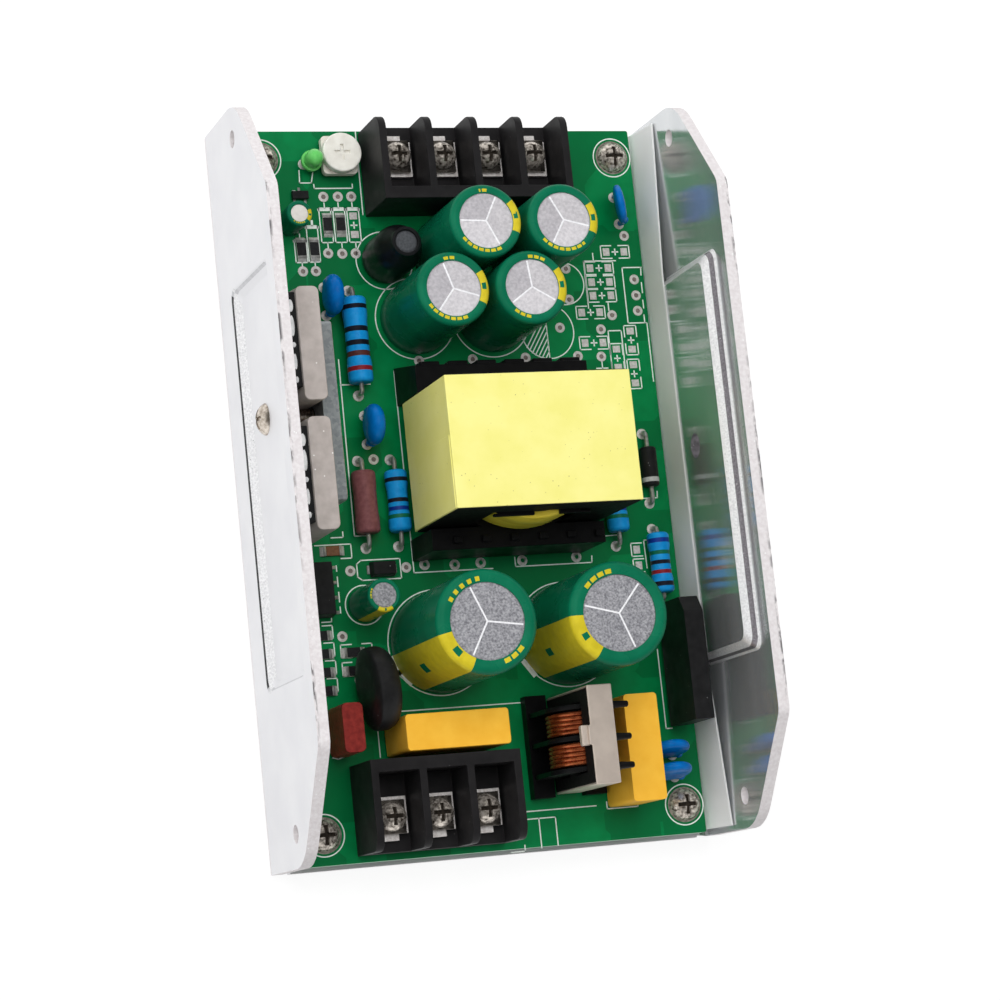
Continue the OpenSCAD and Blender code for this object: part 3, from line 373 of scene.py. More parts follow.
# Partly painted shade: the bobbins' own black, made darker than the housings' to stand for the shade round the
# transformer and the choke.
SHADED_BOBBIN_BLACK = Finish(
    "bobbin_black_shaded", tone(11, 11, 12), tone(17, 17, 18), 0.4, grain=2.0, specular=0.16, relief=0.25,
)
BLACK_EPOXY = Finish(
    "black_epoxy", tone(25, 25, 26), tone(34, 34, 35), 0.45, grain=1.5, specular=0.2, relief=0.25,
    speck=tone(150, 150, 150), speck_size=1.3, speck_share=0.075,
)
BLACK_SHRINK = Finish("black_shrink", tone(20, 21, 23), tone(14, 15, 17), 0.34, grain=2.5, specular=0.3, relief=0.15)
SHRINK_TOP = Finish("drum_end", tone(84, 86, 90), tone(62, 64, 68), 0.5, grain=0.4, specular=0.2, relief=0.3)
FERRITE = Finish(
    "ferrite", tone(18, 18, 18), tone(26, 25, 25), 0.6, grain=0.5, specular=0.1, relief=0.4, relief_size=0.12,
)
TAPE = Finish(
    "core_tape", tone(246, 240, 150), tone(240, 234, 136), 0.46, grain=5.0, relief=0.1, relief_size=1.5,
    specular=0.25, speck=tone(176, 166, 100), speck_size=1.1, speck_share=0.1,
)
WINDING_TAPE = Finish(
    "winding_tape", tone(250, 228, 84), tone(228, 202, 60), 0.38, grain=3.0, relief=0.5, relief_size=1.0,
    specular=0.3, stretch=(2.0, 2.0, 0.4),
)
SLEEVE = Finish(
    "green_sleeve", tone(12, 112, 80), tone(7, 102, 72), 0.28, grain=4.0, relief=0.08, relief_size=1.5, specular=0.12,
)
SLEEVE_PRINT = Finish("sleeve_print", tone(214, 196, 46), tone(198, 180, 36), 0.34, grain=1.5, specular=0.16)
CAN_TOP = Finish(
    "can_top", tone(172, 172, 176), tone(108, 108, 114), 0.5, grain=0.34, relief=0.5, relief_size=0.3, specular=0.25,
)
# Painted sheen: the sectors of each output capacitor's top differ in tone as they catch the light.
MID_SHEEN_TOP = Finish(
    "top_mid_sheen", tone(204, 201, 204), tone(178, 175, 179), 0.5, grain=0.5, relief=0.3, relief_size=0.3, specular=0.25,
)
DIM_SHEEN_TOP = Finish(
    "top_dim_sheen", tone(190, 187, 191), tone(164, 161, 166), 0.5, grain=0.5, relief=0.3, relief_size=0.3, specular=0.25,
)
BRIGHT_SHEEN_TOP = Finish(
    "top_bright_sheen", tone(216, 213, 216), tone(192, 189, 193), 0.5, grain=0.5, relief=0.3, relief_size=0.3, specular=0.25,
)
CAN = Finish("can_wall", tone(206, 207, 210), tone(186, 187, 190), 0.35, 1.0)
SCORE = Finish("vent_score", tone(246, 246, 248), tone(226, 226, 230), 0.4, grain=0.5, specular=0.25)
CAP_WHITE = Finish("white_cap_top", tone(236, 232, 226), tone(224, 219, 212), 0.4, grain=1.0, specular=0.25)
COPPER = Finish("enamelled_copper", tone(206, 112, 66), tone(150, 70, 36), 0.28, 0.85, grain=1.2, coat=0.2)
AMBER = Finish("amber_box", tone(250, 192, 66), tone(244, 182, 56), 0.42, grain=3.0, relief=0.15, specular=0.15)
AMBER_FILL = Finish("amber_resin", tone(214, 158, 48), tone(196, 140, 40), 0.3, grain=2.0, specular=0.25)
RED_DIP = Finish(
    "red_dip", tone(150, 52, 46), tone(120, 38, 35), 0.36, grain=0.9, relief=0.7, relief_size=0.55, specular=0.16,
)
BLUE_DIP = Finish(
    "blue_dip", tone(4, 114, 196), tone(0, 99, 177), 0.2, grain=1.5, relief=0.15, specular=0.2,
)
BLUE_LACQUER = Finish(
    "blue_lacquer", tone(28, 152, 222), tone(14, 134, 206), 0.3, grain=1.5, specular=0.18, relief=0.2,
)
BAND_BLACK = Finish("band_black", tone(16, 18, 30), tone(26, 28, 40), 0.34, grain=0.6, specular=0.3)
BAND_RED = Finish("band_red", tone(142, 30, 42), tone(122, 22, 34), 0.34, grain=0.6, specular=0.3)
BAND_BROWN = Finish("band_brown", tone(88, 46, 42), tone(74, 38, 34), 0.34, grain=0.6, specular=0.3)
BAND_BLUE = Finish("band_blue", tone(14, 52, 146), tone(10, 44, 126), 0.34, grain=0.6, specular=0.3)
BAND_GREEN = Finish("band_green", tone(10, 108, 80), tone(6, 92, 68), 0.34, grain=0.6, specular=0.3)
BAND_SILVER = Finish("band_silver", tone(190, 190, 188), tone(168, 168, 166), 0.4, grain=0.6)
MAUVE = Finish("mauve_cement", tone(128, 80, 82), tone(108, 64, 68), 0.5, grain=0.8, relief=0.35, specular=0.25)
SILICONE = Finish(
    "grey_silicone", tone(190, 181, 176), tone(172, 163, 158), 0.52, grain=2.0, subsurface=0.1, relief=0.3,
    specular=0.25, speck=tone(240, 238, 236), speck_size=1.6, speck_share=0.1,
)
PASTE = Finish("heat_paste", tone(236, 236, 236), tone(206, 207, 208), 0.3, grain=1.0, relief=0.6, relief_size=0.6)
TRIMMER_WHITE = Finish("trimmer_white", tone(228, 224, 214), tone(212, 207, 196), 0.45, grain=1.2, specular=0.25)
DIAL_WHITE = Finish(
    "dial_white", tone(238, 236, 228), tone(226, 223, 214), 0.34, grain=1.5, subsurface=0.3, specular=0.3,
)
LENS = Finish(
    "green_lens", tone(118, 216, 116), tone(96, 198, 96), 0.2, grain=1.0, subsurface=0.25, coat=0.2, specular=0.35,
)
CERAMIC = Finish("chip_ceramic", tone(226, 224, 218), tone(206, 204, 198), 0.5, grain=0.4, specular=0.25)
CHIP_TOP = Finish("chip_glaze", tone(28, 28, 30), tone(40, 40, 42), 0.38, grain=0.4, specular=0.25)
CHIP_BROWN = Finish("chip_brown", tone(128, 88, 62), tone(108, 74, 52), 0.42, grain=0.4, specular=0.25)


def soften(shape: BMesh, edge: float, steps: int = 2, from_angle: float = 28.0) -> BMesh:
    """Round the sharp edges of a shape.

    Args:
        shape: The shape.
        edge: Width of the rounding in millimetres; 0 leaves the edges sharp.
        steps: Facets across each rounding.
        from_angle: Edges that turn by more than this many degrees are rounded.

    Returns:
        The same shape.
    """
    limit = math.radians(from_angle)
    sharp = [line for line in shape.edges if len(line.link_faces) == 2 and line.calc_face_angle() > limit]
    if edge > 0 and sharp:
        bmesh.ops.bevel(
            shape, geom=sharp, offset=edge, offset_type="OFFSET", segments=steps, profile=0.5, affect="EDGES",
            material=-1, clamp_overlap=True,
        )
    return shape


def block(size: Sequence[float], edge: float = 0.0, steps: int = 2) -> BMesh:
    """Return a block round the origin.

    Args:
        size: Its three sides in millimetres.
        edge: Width of the rounding along its edges.
        steps: Facets across each rounding.

    Returns:
        The shape.
    """
    shape = bmesh.new()
    bmesh.ops.create_cube(shape, size=1.0, matrix=Matrix.Diagonal((*size, 1.0)))
    return soften(shape, edge, steps)


def drop(size: Sequence[float], steps: int = 16) -> BMesh:
    """Return an oval drop of the given sides round the origin."""
    shape = bmesh.new()
    matrix = Matrix.Diagonal((*size, 1.0))
    bmesh.ops.create_uvsphere(shape, u_segments=steps, v_segments=steps // 2, radius=0.5, matrix=matrix)
    return shape


def wire(points: Points, closed: bool) -> BMesh:
    """Return a line in the XZ plane with rounded corners.

    Args:
        points: X and Z of each corner, and its rounding as a third value where it has one.
        closed: Whether the line returns to its start.

    Returns:
        The line as a shape without faces.
    """
    shape = bmesh.new()
    corners = [shape.verts.new((point[0], 0.0, point[1])) for point in points]
    for pair in zip(corners, corners[1:]):
        shape.edges.new(pair)
    if closed:
        shape.edges.new((corners[-1], corners[0]))
    for corner, point in zip(corners, points):
        if len(point) > 2:
            bmesh.ops.bevel(
                shape, geom=[corner], offset=point[2], offset_type="OFFSET", segments=6, profile=0.5,
                affect="VERTICES", material=-1,
            )
    return shape


def turned(points: Points, steps: int = 48, closed: bool = False) -> BMesh:
    """Return a shape turned about the Z axis.

    Args:
        points: Radius and height of each corner of the profile, with its rounding where it has one.
        steps: Facets round the axis.
        closed: Whether the profile is a loop clear of the axis.

    Returns:
        The shape.
    """
    shape = wire(points, closed)
    bmesh.ops.spin(
        shape, geom=shape.verts[:] + shape.edges[:], cent=(0, 0, 0), axis=(0, 0, 1), dvec=(0, 0, 0),
        angle=2 * math.pi, steps=steps, use_merge=True,
    )
    bmesh.ops.remove_doubles(shape, verts=shape.verts, dist=WELD)
    bmesh.ops.holes_fill(shape, edges=shape.edges, sides=0)
    bmesh.ops.recalc_face_normals(shape, faces=shape.faces)
    return shape


def prism(points: Points, height: float, edge: float = 0.0) -> BMesh:
    """Return an outline in the XY plane raised to a height.

    Args:
        points: X and Y of each corner, with its rounding where it has one.
        height: Height in millimetres.
        edge: Width of the rounding along the edges.

    Returns:
        The shape.
    """
    shape = wire(points, True)
    bmesh.ops.rotate(shape, verts=shape.verts, cent=(0, 0, 0), matrix=Matrix.Rotation(-math.pi / 2, 3, "X"))
    bmesh.ops.contextual_create(shape, geom=shape.edges)
    raised = bmesh.ops.extrude_face_region(shape, geom=shape.faces[:])["geom"]
    bmesh.ops.translate(shape, verts=[part for part in raised if isinstance(part, bmesh.types.BMVert)], vec=(0, 0, height))
    bmesh.ops.recalc_face_normals(shape, faces=shape.faces)
    return soften(shape, edge)


def swept(path: Points, radius: float, sides: int = 10) -> BMesh:
    """Return a round wire along a path.

    Args:
        path: Points of the path in millimetres.
        radius: Radius of the wire.
        sides: Facets round the wire.

    Returns:
        The shape with both ends closed.
    """
    stops = [Vector(point) for point in path]
    ways = [(after - before).normalized() for before, after in zip(stops, stops[1:])]
    ways = [ways[0]] + [(one + two).normalized() for one, two in zip(ways, ways[1:])] + [ways[-1]]
    shape = bmesh.new()
    ring = bmesh.ops.create_circle(shape, cap_ends=False, radius=radius, segments=sides)["verts"]
    turn = Vector((0, 0, 1)).rotation_difference(ways[0]).to_matrix()
    bmesh.ops.rotate(shape, verts=ring, cent=(0, 0, 0), matrix=turn)
    bmesh.ops.translate(shape, verts=ring, vec=stops[0])
    lines = shape.edges[:]
    for index in range(1, len(stops)):
        grown = bmesh.ops.extrude_edge_only(shape, edges=lines)["geom"]
        ring = [part for part in grown if isinstance(part, bmesh.types.BMVert)]
        lines = [part for part in grown if isinstance(part, bmesh.types.BMEdge)]
        bmesh.ops.translate(shape, verts=ring, vec=stops[index] - stops[index - 1])
        turn = ways[index - 1].rotation_difference(ways[index]).to_matrix()
        bmesh.ops.rotate(shape, verts=ring, cent=stops[index], matrix=turn)
    bmesh.ops.holes_fill(shape, edges=shape.edges, sides=0)
    bmesh.ops.recalc_face_normals(shape, faces=shape.faces)
    return shape


def rounded_path(points: Points, radius: float, steps: int = 5) -> list[Vector]:
    """Return a path whose inner corners are rounded.

    Args:
        points: Corners of the path.
        radius: Rounding at each inner corner.
        steps: Straight pieces in each rounding.

    Returns:
        The points of the path.
    """
    stops = [Vector(point) for point in points]
    path = [stops[0]]
    for before, corner, after in zip(stops, stops[1:], stops[2:]):
        start = corner + (before - corner).normalized() * radius
        end = corner + (after - corner).normalized() * radius
        for step in range(steps + 1):
            share = step / steps
            path.append(start.lerp(corner, share).lerp(corner.lerp(end, share), share))
    return path + [stops[-1]]


def at(x: float, y: float, z: float, turn: Sequence[float] = (0, 0, 0)) -> Matrix:
    """Return the place of a shape, turned by degrees about X, Y and Z."""
    return Matrix.Translation((x, y, z)) @ Euler([math.radians(part) for part in turn]).to_matrix().to_4x4()


@dataclass(frozen=True)
class Seat:
    """The box that a CAD node, or one solid of it, fills, in millimetres, and the middle of its feet."""

    low: Vector
    high: Vector
    foot: Vector = field(default_factory=Vector)

    @property
    def mid(self) -> Vector:
        """Return the middle of the box."""
        return (self.low + self.high) / 2

    @property
    def size(self) -> Vector:
        """Return the sides of the box."""
        return self.high - self.low


def seat(node: str) -> Seat:
    """Return the box of a CAD node."""
    low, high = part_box(node)
    return Seat(low / MM, high / MM)


class Frame:
    """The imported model, read once."""

    nodes: dict[str, bpy.types.Object] = {}
    board_top: float = 0.0
    board_under: float = 0.0

    @classmethod
    def load(cls) -> None:
        """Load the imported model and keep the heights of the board's faces."""
        cls.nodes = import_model()["nodes"]
        board = seat("circuit_board")
        cls.board_top = board.high.z
        cls.board_under = board.low.z

    @classmethod
    def copy(cls, node: str, edge: float, steps: int = 2) -> BMesh:
        """Return a copy of a node's mesh in millimetres, joined up and with softened edges.

        Args:
            node: Name of the CAD node.
            edge: Width of the rounding along its edges.
            steps: Facets across each rounding.

        Returns:
            The shape.
        """
        shape = bmesh.new()
        shape.from_mesh(cls.nodes[node].data)
        shape.transform(Matrix.Scale(1 / MM, 4))
        bmesh.ops.remove_doubles(shape, verts=shape.verts, dist=WELD)
        flat = math.radians(0.5)
        bmesh.ops.dissolve_limit(shape, angle_limit=flat, verts=shape.verts, edges=shape.edges, delimit={"NORMAL"})
        return soften(shape, edge, steps)

    @classmethod
    def solids(cls, node: str) -> list[Seat]:
        """Return the boxes of a node's separate solids, from front to rear and left to right."""
        shape = bmesh.new()
        shape.from_mesh(cls.nodes[node].data)
        shape.transform(Matrix.Scale(1 / MM, 4))
        bmesh.ops.remove_doubles(shape, verts=shape.verts, dist=WELD)
        left = set(shape.verts)
        boxes = []
        while left:
            queue = [left.pop()]
            found = []
            while queue:
                corner = queue.pop()
                found.append(corner.co.copy())
                joined = {line.other_vert(corner) for line in corner.link_edges} & left
                left -= joined
                queue.extend(joined)
            low = Vector([min(place[axis] for place in found) for axis in range(3)])
            high = Vector([max(place[axis] for place in found) for axis in range(3)])
            feet = [place for place in found if place.z < low.z + WELD]
            boxes.append(Seat(low, high, sum(feet, Vector()) / len(feet)))
        shape.free()
        return sorted(boxes, key=lambda box: (round(box.mid.y, 1), round(box.mid.x, 1)))


class Form:
    """One piece of the model, gathered from shapes in millimetres."""

    def __init__(self, name: str) -> None:
        """Start an empty piece."""
        self.name = name
        self.mesh = bmesh.new()
        self.finishes: list[Finish] = []

    def number(self, finish: Finish) -> int:
        """Return the place of a finish among the piece's materials."""
        if finish not in self.finishes:
            self.finishes.append(finish)
        return self.finishes.index(finish)

    def add(
        self, shape: BMesh, finish: Finish, place: Matrix | None = None, marks: Sequence[tuple[Finish, Test]] = ()
    ) -> Form:
        """Add a shape.

        Args:
            shape: The shape, which is used up.
            finish: Its finish.
            place: Where it goes.
            marks: Other finishes, each with a test on the middle of a face before the shape is placed.

        Returns:
            The piece itself.
        """
        for face in shape.faces:
            middle = face.calc_center_median()
            worn = next((mark for mark, covers in marks if covers(middle)), finish)
            face.material_index = self.number(worn)
        if place is not None:
            shape.transform(place)
        loose = bpy.data.meshes.new("loose")
        shape.to_mesh(loose)
        shape.free()
        self.mesh.from_mesh(loose)
        bpy.data.meshes.remove(loose)
        return self

    def piece(self, slot: Slot, *replaced: str, body: str = BODY, sharp: float = 38.0) -> bpy.types.Object:
        """Make the piece's object.

        Args:
            slot: The record's slot for its main finish; not used.
            *replaced: CAD nodes that it stands for.
            body: The body that it moves with.
            sharp: Edges that turn by more than this many degrees stay sharp.

        Returns:
            The object.
        """
        self.mesh.transform(Matrix.Scale(MM, 4))
        mesh = bpy.data.meshes.new(self.name)
        self.mesh.to_mesh(mesh)
        self.mesh.free()
        for finish in self.finishes:
            mesh.materials.append(finish.material())
        mesh.shade_smooth()
        mesh.set_sharp_from_angle(angle=math.radians(sharp))
        thing = bpy.data.objects.new(self.name, mesh)
        bpy.context.scene.collection.objects.link(thing)
        thing.modifiers.new("flat_faces", "WEIGHTED_NORMAL").keep_sharp = True
        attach(thing, body)
        if replaced:
            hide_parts(*replaced)
        LOG.info("%s: %d faces", self.name, len(mesh.polygons))
        return thing


@dataclass
class SoftenedPart:
    """A CAD node with softened edges in one finish, and a second one where a test says so."""

    node: str
    finish: Finish
    slot: Slot
    edge: float = 0.12
    marks: tuple[tuple[Finish, Test], ...] = ()
    body: str = BODY
    sharp: float = 38.0

    def build(self) -> bpy.types.Object:
        """Build the part where its node is."""
        form = Form(f"{self.node}_finished")
        form.add(Frame.copy(self.node, self.edge), self.finish, marks=self.marks)
        return form.piece(self.slot, self.node, body=self.body, sharp=self.sharp)


def below(height: float) -> Test:
    """Return a test for faces under a height over the board."""
    return lambda middle: middle.z < Frame.board_top + height


@dataclass(frozen=True)
class RimLevel:
    """One corner line of the stamped rim: how far in from the opening and how deep, before and after."""

    inset: float
    depth: float
    new_inset: float
    new_depth: float


@dataclass
class Chassis:
    """The folded channel: mirror walls, satin outside, pale cut edges and a steep rim round each pocket."""

    node: str = "chassis"
    inner: float = 38.5
    outer: float = 40.5
    pocket: tuple[float, float] = (34.5, 14.2)
    pocket_height: float = 20.2
    grow: float = 0.3
    foot_lift: float = 4.9
    corner: float = 1.4
    edge: float = 0.22
    levels: tuple[RimLevel, ...] = (
        RimLevel(0.0, 0.0, 0.3, 0.0), RimLevel(1.017, 0.71, 0.84, 0.3), RimLevel(2.17, 1.151, 1.24, 0.745),
        RimLevel(3.4, 1.3, 2.24, 1.3),
    )
    bulge: float = 0.69

    def build(self) -> bpy.types.Object:
        """Build the channel where its node is."""
        shape = Frame.copy(self.node, 0.0)
        rim = self.shape_rims(shape)
        self.lean_right(shape)
        mitres = [line for line in shape.edges if all(end in rim for end in line.verts) and self.slanted(line)]
        bmesh.ops.bevel(
            shape, geom=mitres, offset=self.corner, offset_type="OFFSET", segments=3, profile=0.5,
            affect="EDGES", material=-1, clamp_overlap=False,
        )
        soften(shape, self.edge, 3)
        form = Form(f"{self.node}_finished")
        # The slit, fold and rim finishes paint shadow, shade and highlight onto the pockets; mirror, satin and the cut
        # edge are the sheet's own finishes.
        marks = [
            (SLIT_SHADOW, self.in_slit_shadow), (FOLD_SHADE, self.in_fold_shade), (RIM_HIGHLIGHT, self.in_lower_rim), (RIM_SHADE, self.in_rim_shade), (RIM_HIGHLIGHT, self.in_rim),
            (MIRROR, self.inside), (SATIN, self.plain),
        ]
        return form.add(shape, CUT, marks=marks).piece(Slot.ALUMINIUM, self.node, sharp=26.0)

    def shape_rims(self, shape: BMesh) -> set[bmesh.types.BMVert]:
        """Make the rims steep next to the wall and return their corners."""
        rim = set()
        for corner in shape.verts:
            for plane, grow in ((self.inner, self.grow), (self.outer, 0.0)):
                level = self.level_at(corner.co, plane, grow)
                if level is not None:
                    rim.add(corner)
                    self.move(corner, level, plane, grow)
                    break
        return rim

    def lean_right(self, shape: BMesh) -> None:
        """Let the right-hand pocket stand further in towards its top."""
        low = self.pocket_height - self.pocket[1] + self.foot_lift
        high = self.pocket_height + self.pocket[1]
        for corner in shape.verts:
            share = min(max((corner.co.z - low) / (high - low), 0.0), 1.0) * self.bulge
            if corner.co.x < 0 or not self.in_pocket(corner.co):
                continue
            plane = self.inner if corner.co.x < self.inner + 0.2 else self.outer
            if plane - corner.co.x > 0.05:
                corner.co.x -= (plane - corner.co.x) * share

    def level_at(self, place: Vector, plane: float, grow: float) -> RimLevel | None:
        """Return the rim's level that has a corner at a place, if one has."""
        for level in self.levels:
            spot = (
                plane - level.depth, self.pocket[0] + grow - level.inset, self.pocket[1] + grow - level.inset,
            )
            here = (abs(place.x), abs(place.y), abs(place.z - self.pocket_height))
            if all(abs(one - two) < 0.04 for one, two in zip(spot, here)):
                return level
        return None

    def move(self, corner: bmesh.types.BMVert, level: RimLevel, plane: float, grow: float) -> None:
        """Put a corner of the rim at its new inset and depth."""
        upper = corner.co.z > self.pocket_height
        high = self.pocket[1] + grow - level.new_inset
        corner.co.x = math.copysign(plane - level.new_depth, corner.co.x)
        corner.co.y = math.copysign(self.pocket[0] + grow - level.new_inset, corner.co.y)
        corner.co.z = self.pocket_height + (high if upper else self.foot_lift - high)

    def slanted(self, line: bmesh.types.BMEdge) -> bool:
        """Return whether an edge of the rim is a mitre between two of its sides."""
        way = line.verts[1].co - line.verts[0].co
        return abs(way.y) > 0.05 and abs(way.z) > 0.05

    def in_pocket(self, middle: Vector) -> bool:
        """Return whether a place is inside the outline of a pocket."""
        low = self.pocket_height - self.pocket[1] + self.foot_lift
        high = self.pocket_height + self.pocket[1] + self.grow
        return abs(middle.y) < self.pocket[0] + self.grow and low - 0.1 < middle.z < high

    def rim_share(self, middle: Vector) -> float:
        """Return how deep a place on the inner rim lies between the wall and the pocket's floor, from 0 to 1."""
        low = self.pocket_height - self.pocket[1] + self.foot_lift
        share = min(max((middle.z - low) / (2 * self.pocket[1] - self.foot_lift), 0.0), 1.0)
        full = self.levels[-1].new_depth * (1 + self.bulge * share * (middle.x > 0))
        return (self.inner - abs(middle.x)) / full

    def in_rim(self, middle: Vector) -> bool:
        """Return whether a face is on the inner rim of a pocket."""
        return self.in_pocket(middle) and 0.06 < self.rim_share(middle) < 0.9

    def in_rim_shade(self, middle: Vector) -> bool:
        """Return whether a face is on the steep part of a pocket's inner rim."""
        return self.in_pocket(middle) and 0.24 < self.rim_share(middle) < 0.56

    def in_slit_shadow(self, middle: Vector) -> bool:
        """Return whether a face is the edge under a pocket's opening outside, which takes a painted shadow line."""
        low = self.pocket_height - self.pocket[1] + self.foot_lift + self.levels[0].new_inset
        side = abs(middle.x) > self.outer - self.levels[1].new_depth and abs(middle.y) < self.pocket[0] - 0.6
        return side and low - 0.02 < middle.z < low + 0.62

    def in_fold_shade(self, middle: Vector) -> bool:
        """Return whether a face is on the steep part of a pocket's end outside, which takes a painted grey shade."""
        near, far = (self.pocket[0] - level.new_inset for level in self.levels[1:3])
        return abs(middle.x) > self.outer - 1.0 and self.in_pocket(middle) and far < abs(middle.y) < near

    def in_lower_rim(self, middle: Vector) -> bool:
        """Return whether a face is on the lower rim of a pocket outside."""
        low = self.pocket_height - self.pocket[1] + self.foot_lift
        rim = self.levels[-1].new_inset
        return abs(middle.x) > self.outer - 1.29 and self.in_pocket(middle) and middle.z < low + rim

    def inside(self, middle: Vector) -> bool:
        """Return whether a face is on the inner side of a wall."""
        return 2.1 < middle.z and 36.0 < abs(middle.x) < self.inner + 0.06

    def plain(self, middle: Vector) -> bool:
        """Return whether a face is on the base or on the outer side of a wall."""
        side = abs(middle.x)
        base = middle.z < 2.2 and side < self.inner and abs(middle.y) < 63.1
        recess = self.inner < side and self.in_pocket(middle)
        return base or recess or side > self.outer - 0.06


@dataclass
class CrossScrews:
    """Screws with a domed head, with painted shade in the cross in it."""

    node: str
    finish: Finish
    head: tuple[float, float] = (5.6, 2.0)
    edge: float = 0.08
    deep: float = 0.3

    def build(self) -> bpy.types.Object:
        """Build the screws where their node is."""
        axes = [room.mid for room in Frame.solids(self.node)]
        top = seat(self.node).high.z
        width, height = self.head
        dome = ((width / 2) ** 2 + height**2) / (2 * height)

        def in_cross(middle: Vector) -> bool:
            """Return whether a face lies under the dome of its screw's head."""
            reach = min((middle.xy - axis.xy).length for axis in axes)
            surface = top - dome + math.sqrt(max(dome**2 - reach**2, 0.0))
            return reach < width * 0.32 and top - height < middle.z < surface - self.deep

        form = Form(f"{self.node}_finished")
        form.add(Frame.copy(self.node, self.edge), self.finish, marks=[(RECESS_SHADE, in_cross)])
        return form.piece(Slot.NICKEL, self.node)


@dataclass
class ClampScrew:
    """The screw through the left wall: a low head outside and a threaded shank between the caps."""

    node: str = "clamp_screw"
    seat_x: float = -39.2
    head_share: float = 0.8
    thread: tuple[float, float] = (1.4, 1.62)
    pitch: float = 0.6
    thread_from: float = -37.0

    def build(self) -> bpy.types.Object:
        """Build the screw where its node is."""
        room = seat(self.node)
        shape = Frame.copy(self.node, 0.08)
        for corner in shape.verts:
            if corner.co.x < self.seat_x:
                corner.co.x = self.seat_x + (corner.co.x - self.seat_x) * self.head_share
        form = Form(f"{self.node}_finished").add(shape, NICKEL)
        turns = int((room.high.x - self.thread_from) / self.pitch) - 1
        root, crest = self.thread
        ridge = ((root, 0.0), (crest, self.pitch * 0.4), (crest, self.pitch * 0.55), (root, self.pitch))
        for number in range(turns):
            place = at(self.thread_from + number * self.pitch, room.mid.y, room.mid.z, (0, 90, 0))
            form.add(turned(ridge, 24, True), NICKEL, place)
        return form.piece(Slot.NICKEL, self.node)


@dataclass
class SolderJoints:
    """Solder at every lead: a ring on the board's top and a cone with the lead's end below."""

    ring_radius: float = 0.95
    ring_rise: float = 0.35
    cone_radius: float = 1.0
    cone_height: float = 1.3
    tail: float = 1.7
    places: list[tuple[float, float, float]] = field(default_factory=list)

    def join(self, x: float, y: float, lead: float = 0.4) -> None:
        """Note a lead's place and radius."""
        self.places.append((x, y, lead))

    def build(self) -> bpy.types.Object:
        """Build all joints as one piece."""
        form = Form("solder_joints")
        for x, y, lead in self.places:
            ring = (
                (lead, 0.0), (self.ring_radius, 0.0), (self.ring_radius, 0.04), (lead + 0.14, 0.16, 0.1),
                (lead, self.ring_rise),
            )
            form.add(turned(ring, 14, True), SOLDER, at(x, y, Frame.board_top))
            cone = (
                (0.0, -self.tail), (lead, -self.tail), (lead, -self.cone_height), (lead + 0.25, -0.5, 0.15),
                (self.cone_radius, 0.0), (0.0, 0.0),
            )
            form.add(turned(cone, 12), SOLDER, at(x, y, Frame.board_under))
        return form.piece(Slot.TIN)


@dataclass
class TerminalBlock:
    """A screw terminal block: housing, contacts, clamp plates and screws."""

    name: str
    head: tuple[float, float] = (5.0, 2.4)
    housing_edge: float = 0.22
    metal_edge: float = 0.08

    def build(self) -> list[bpy.types.Object]:
        """Build the four kinds of part that make up the block."""
        made = [
            SoftenedPart(f"{self.name}_housing", BLACK_MOULDING, Slot.BLACK_MOULDING, self.housing_edge).build(),
            SoftenedPart(f"{self.name}_contacts", CONTACT, Slot.TIN, self.metal_edge).build(),
            # The clamps take the nickel darkened as painted shade.
            SoftenedPart(f"{self.name}_clamps", SHADED_NICKEL, Slot.NICKEL, self.metal_edge).build(),
            CrossScrews(f"{self.name}_screws", SCREW_GLINTS, self.head, self.metal_edge).build(),
        ]
        return made


def turn_between(place: Vector, centre: float) -> float:
    """Return the angle from a direction to a place seen from the axis, in degrees from -180 to 180."""
    angle = math.degrees(math.atan2(place.y, place.x))
    return (angle - centre + 180) % 360 - 180


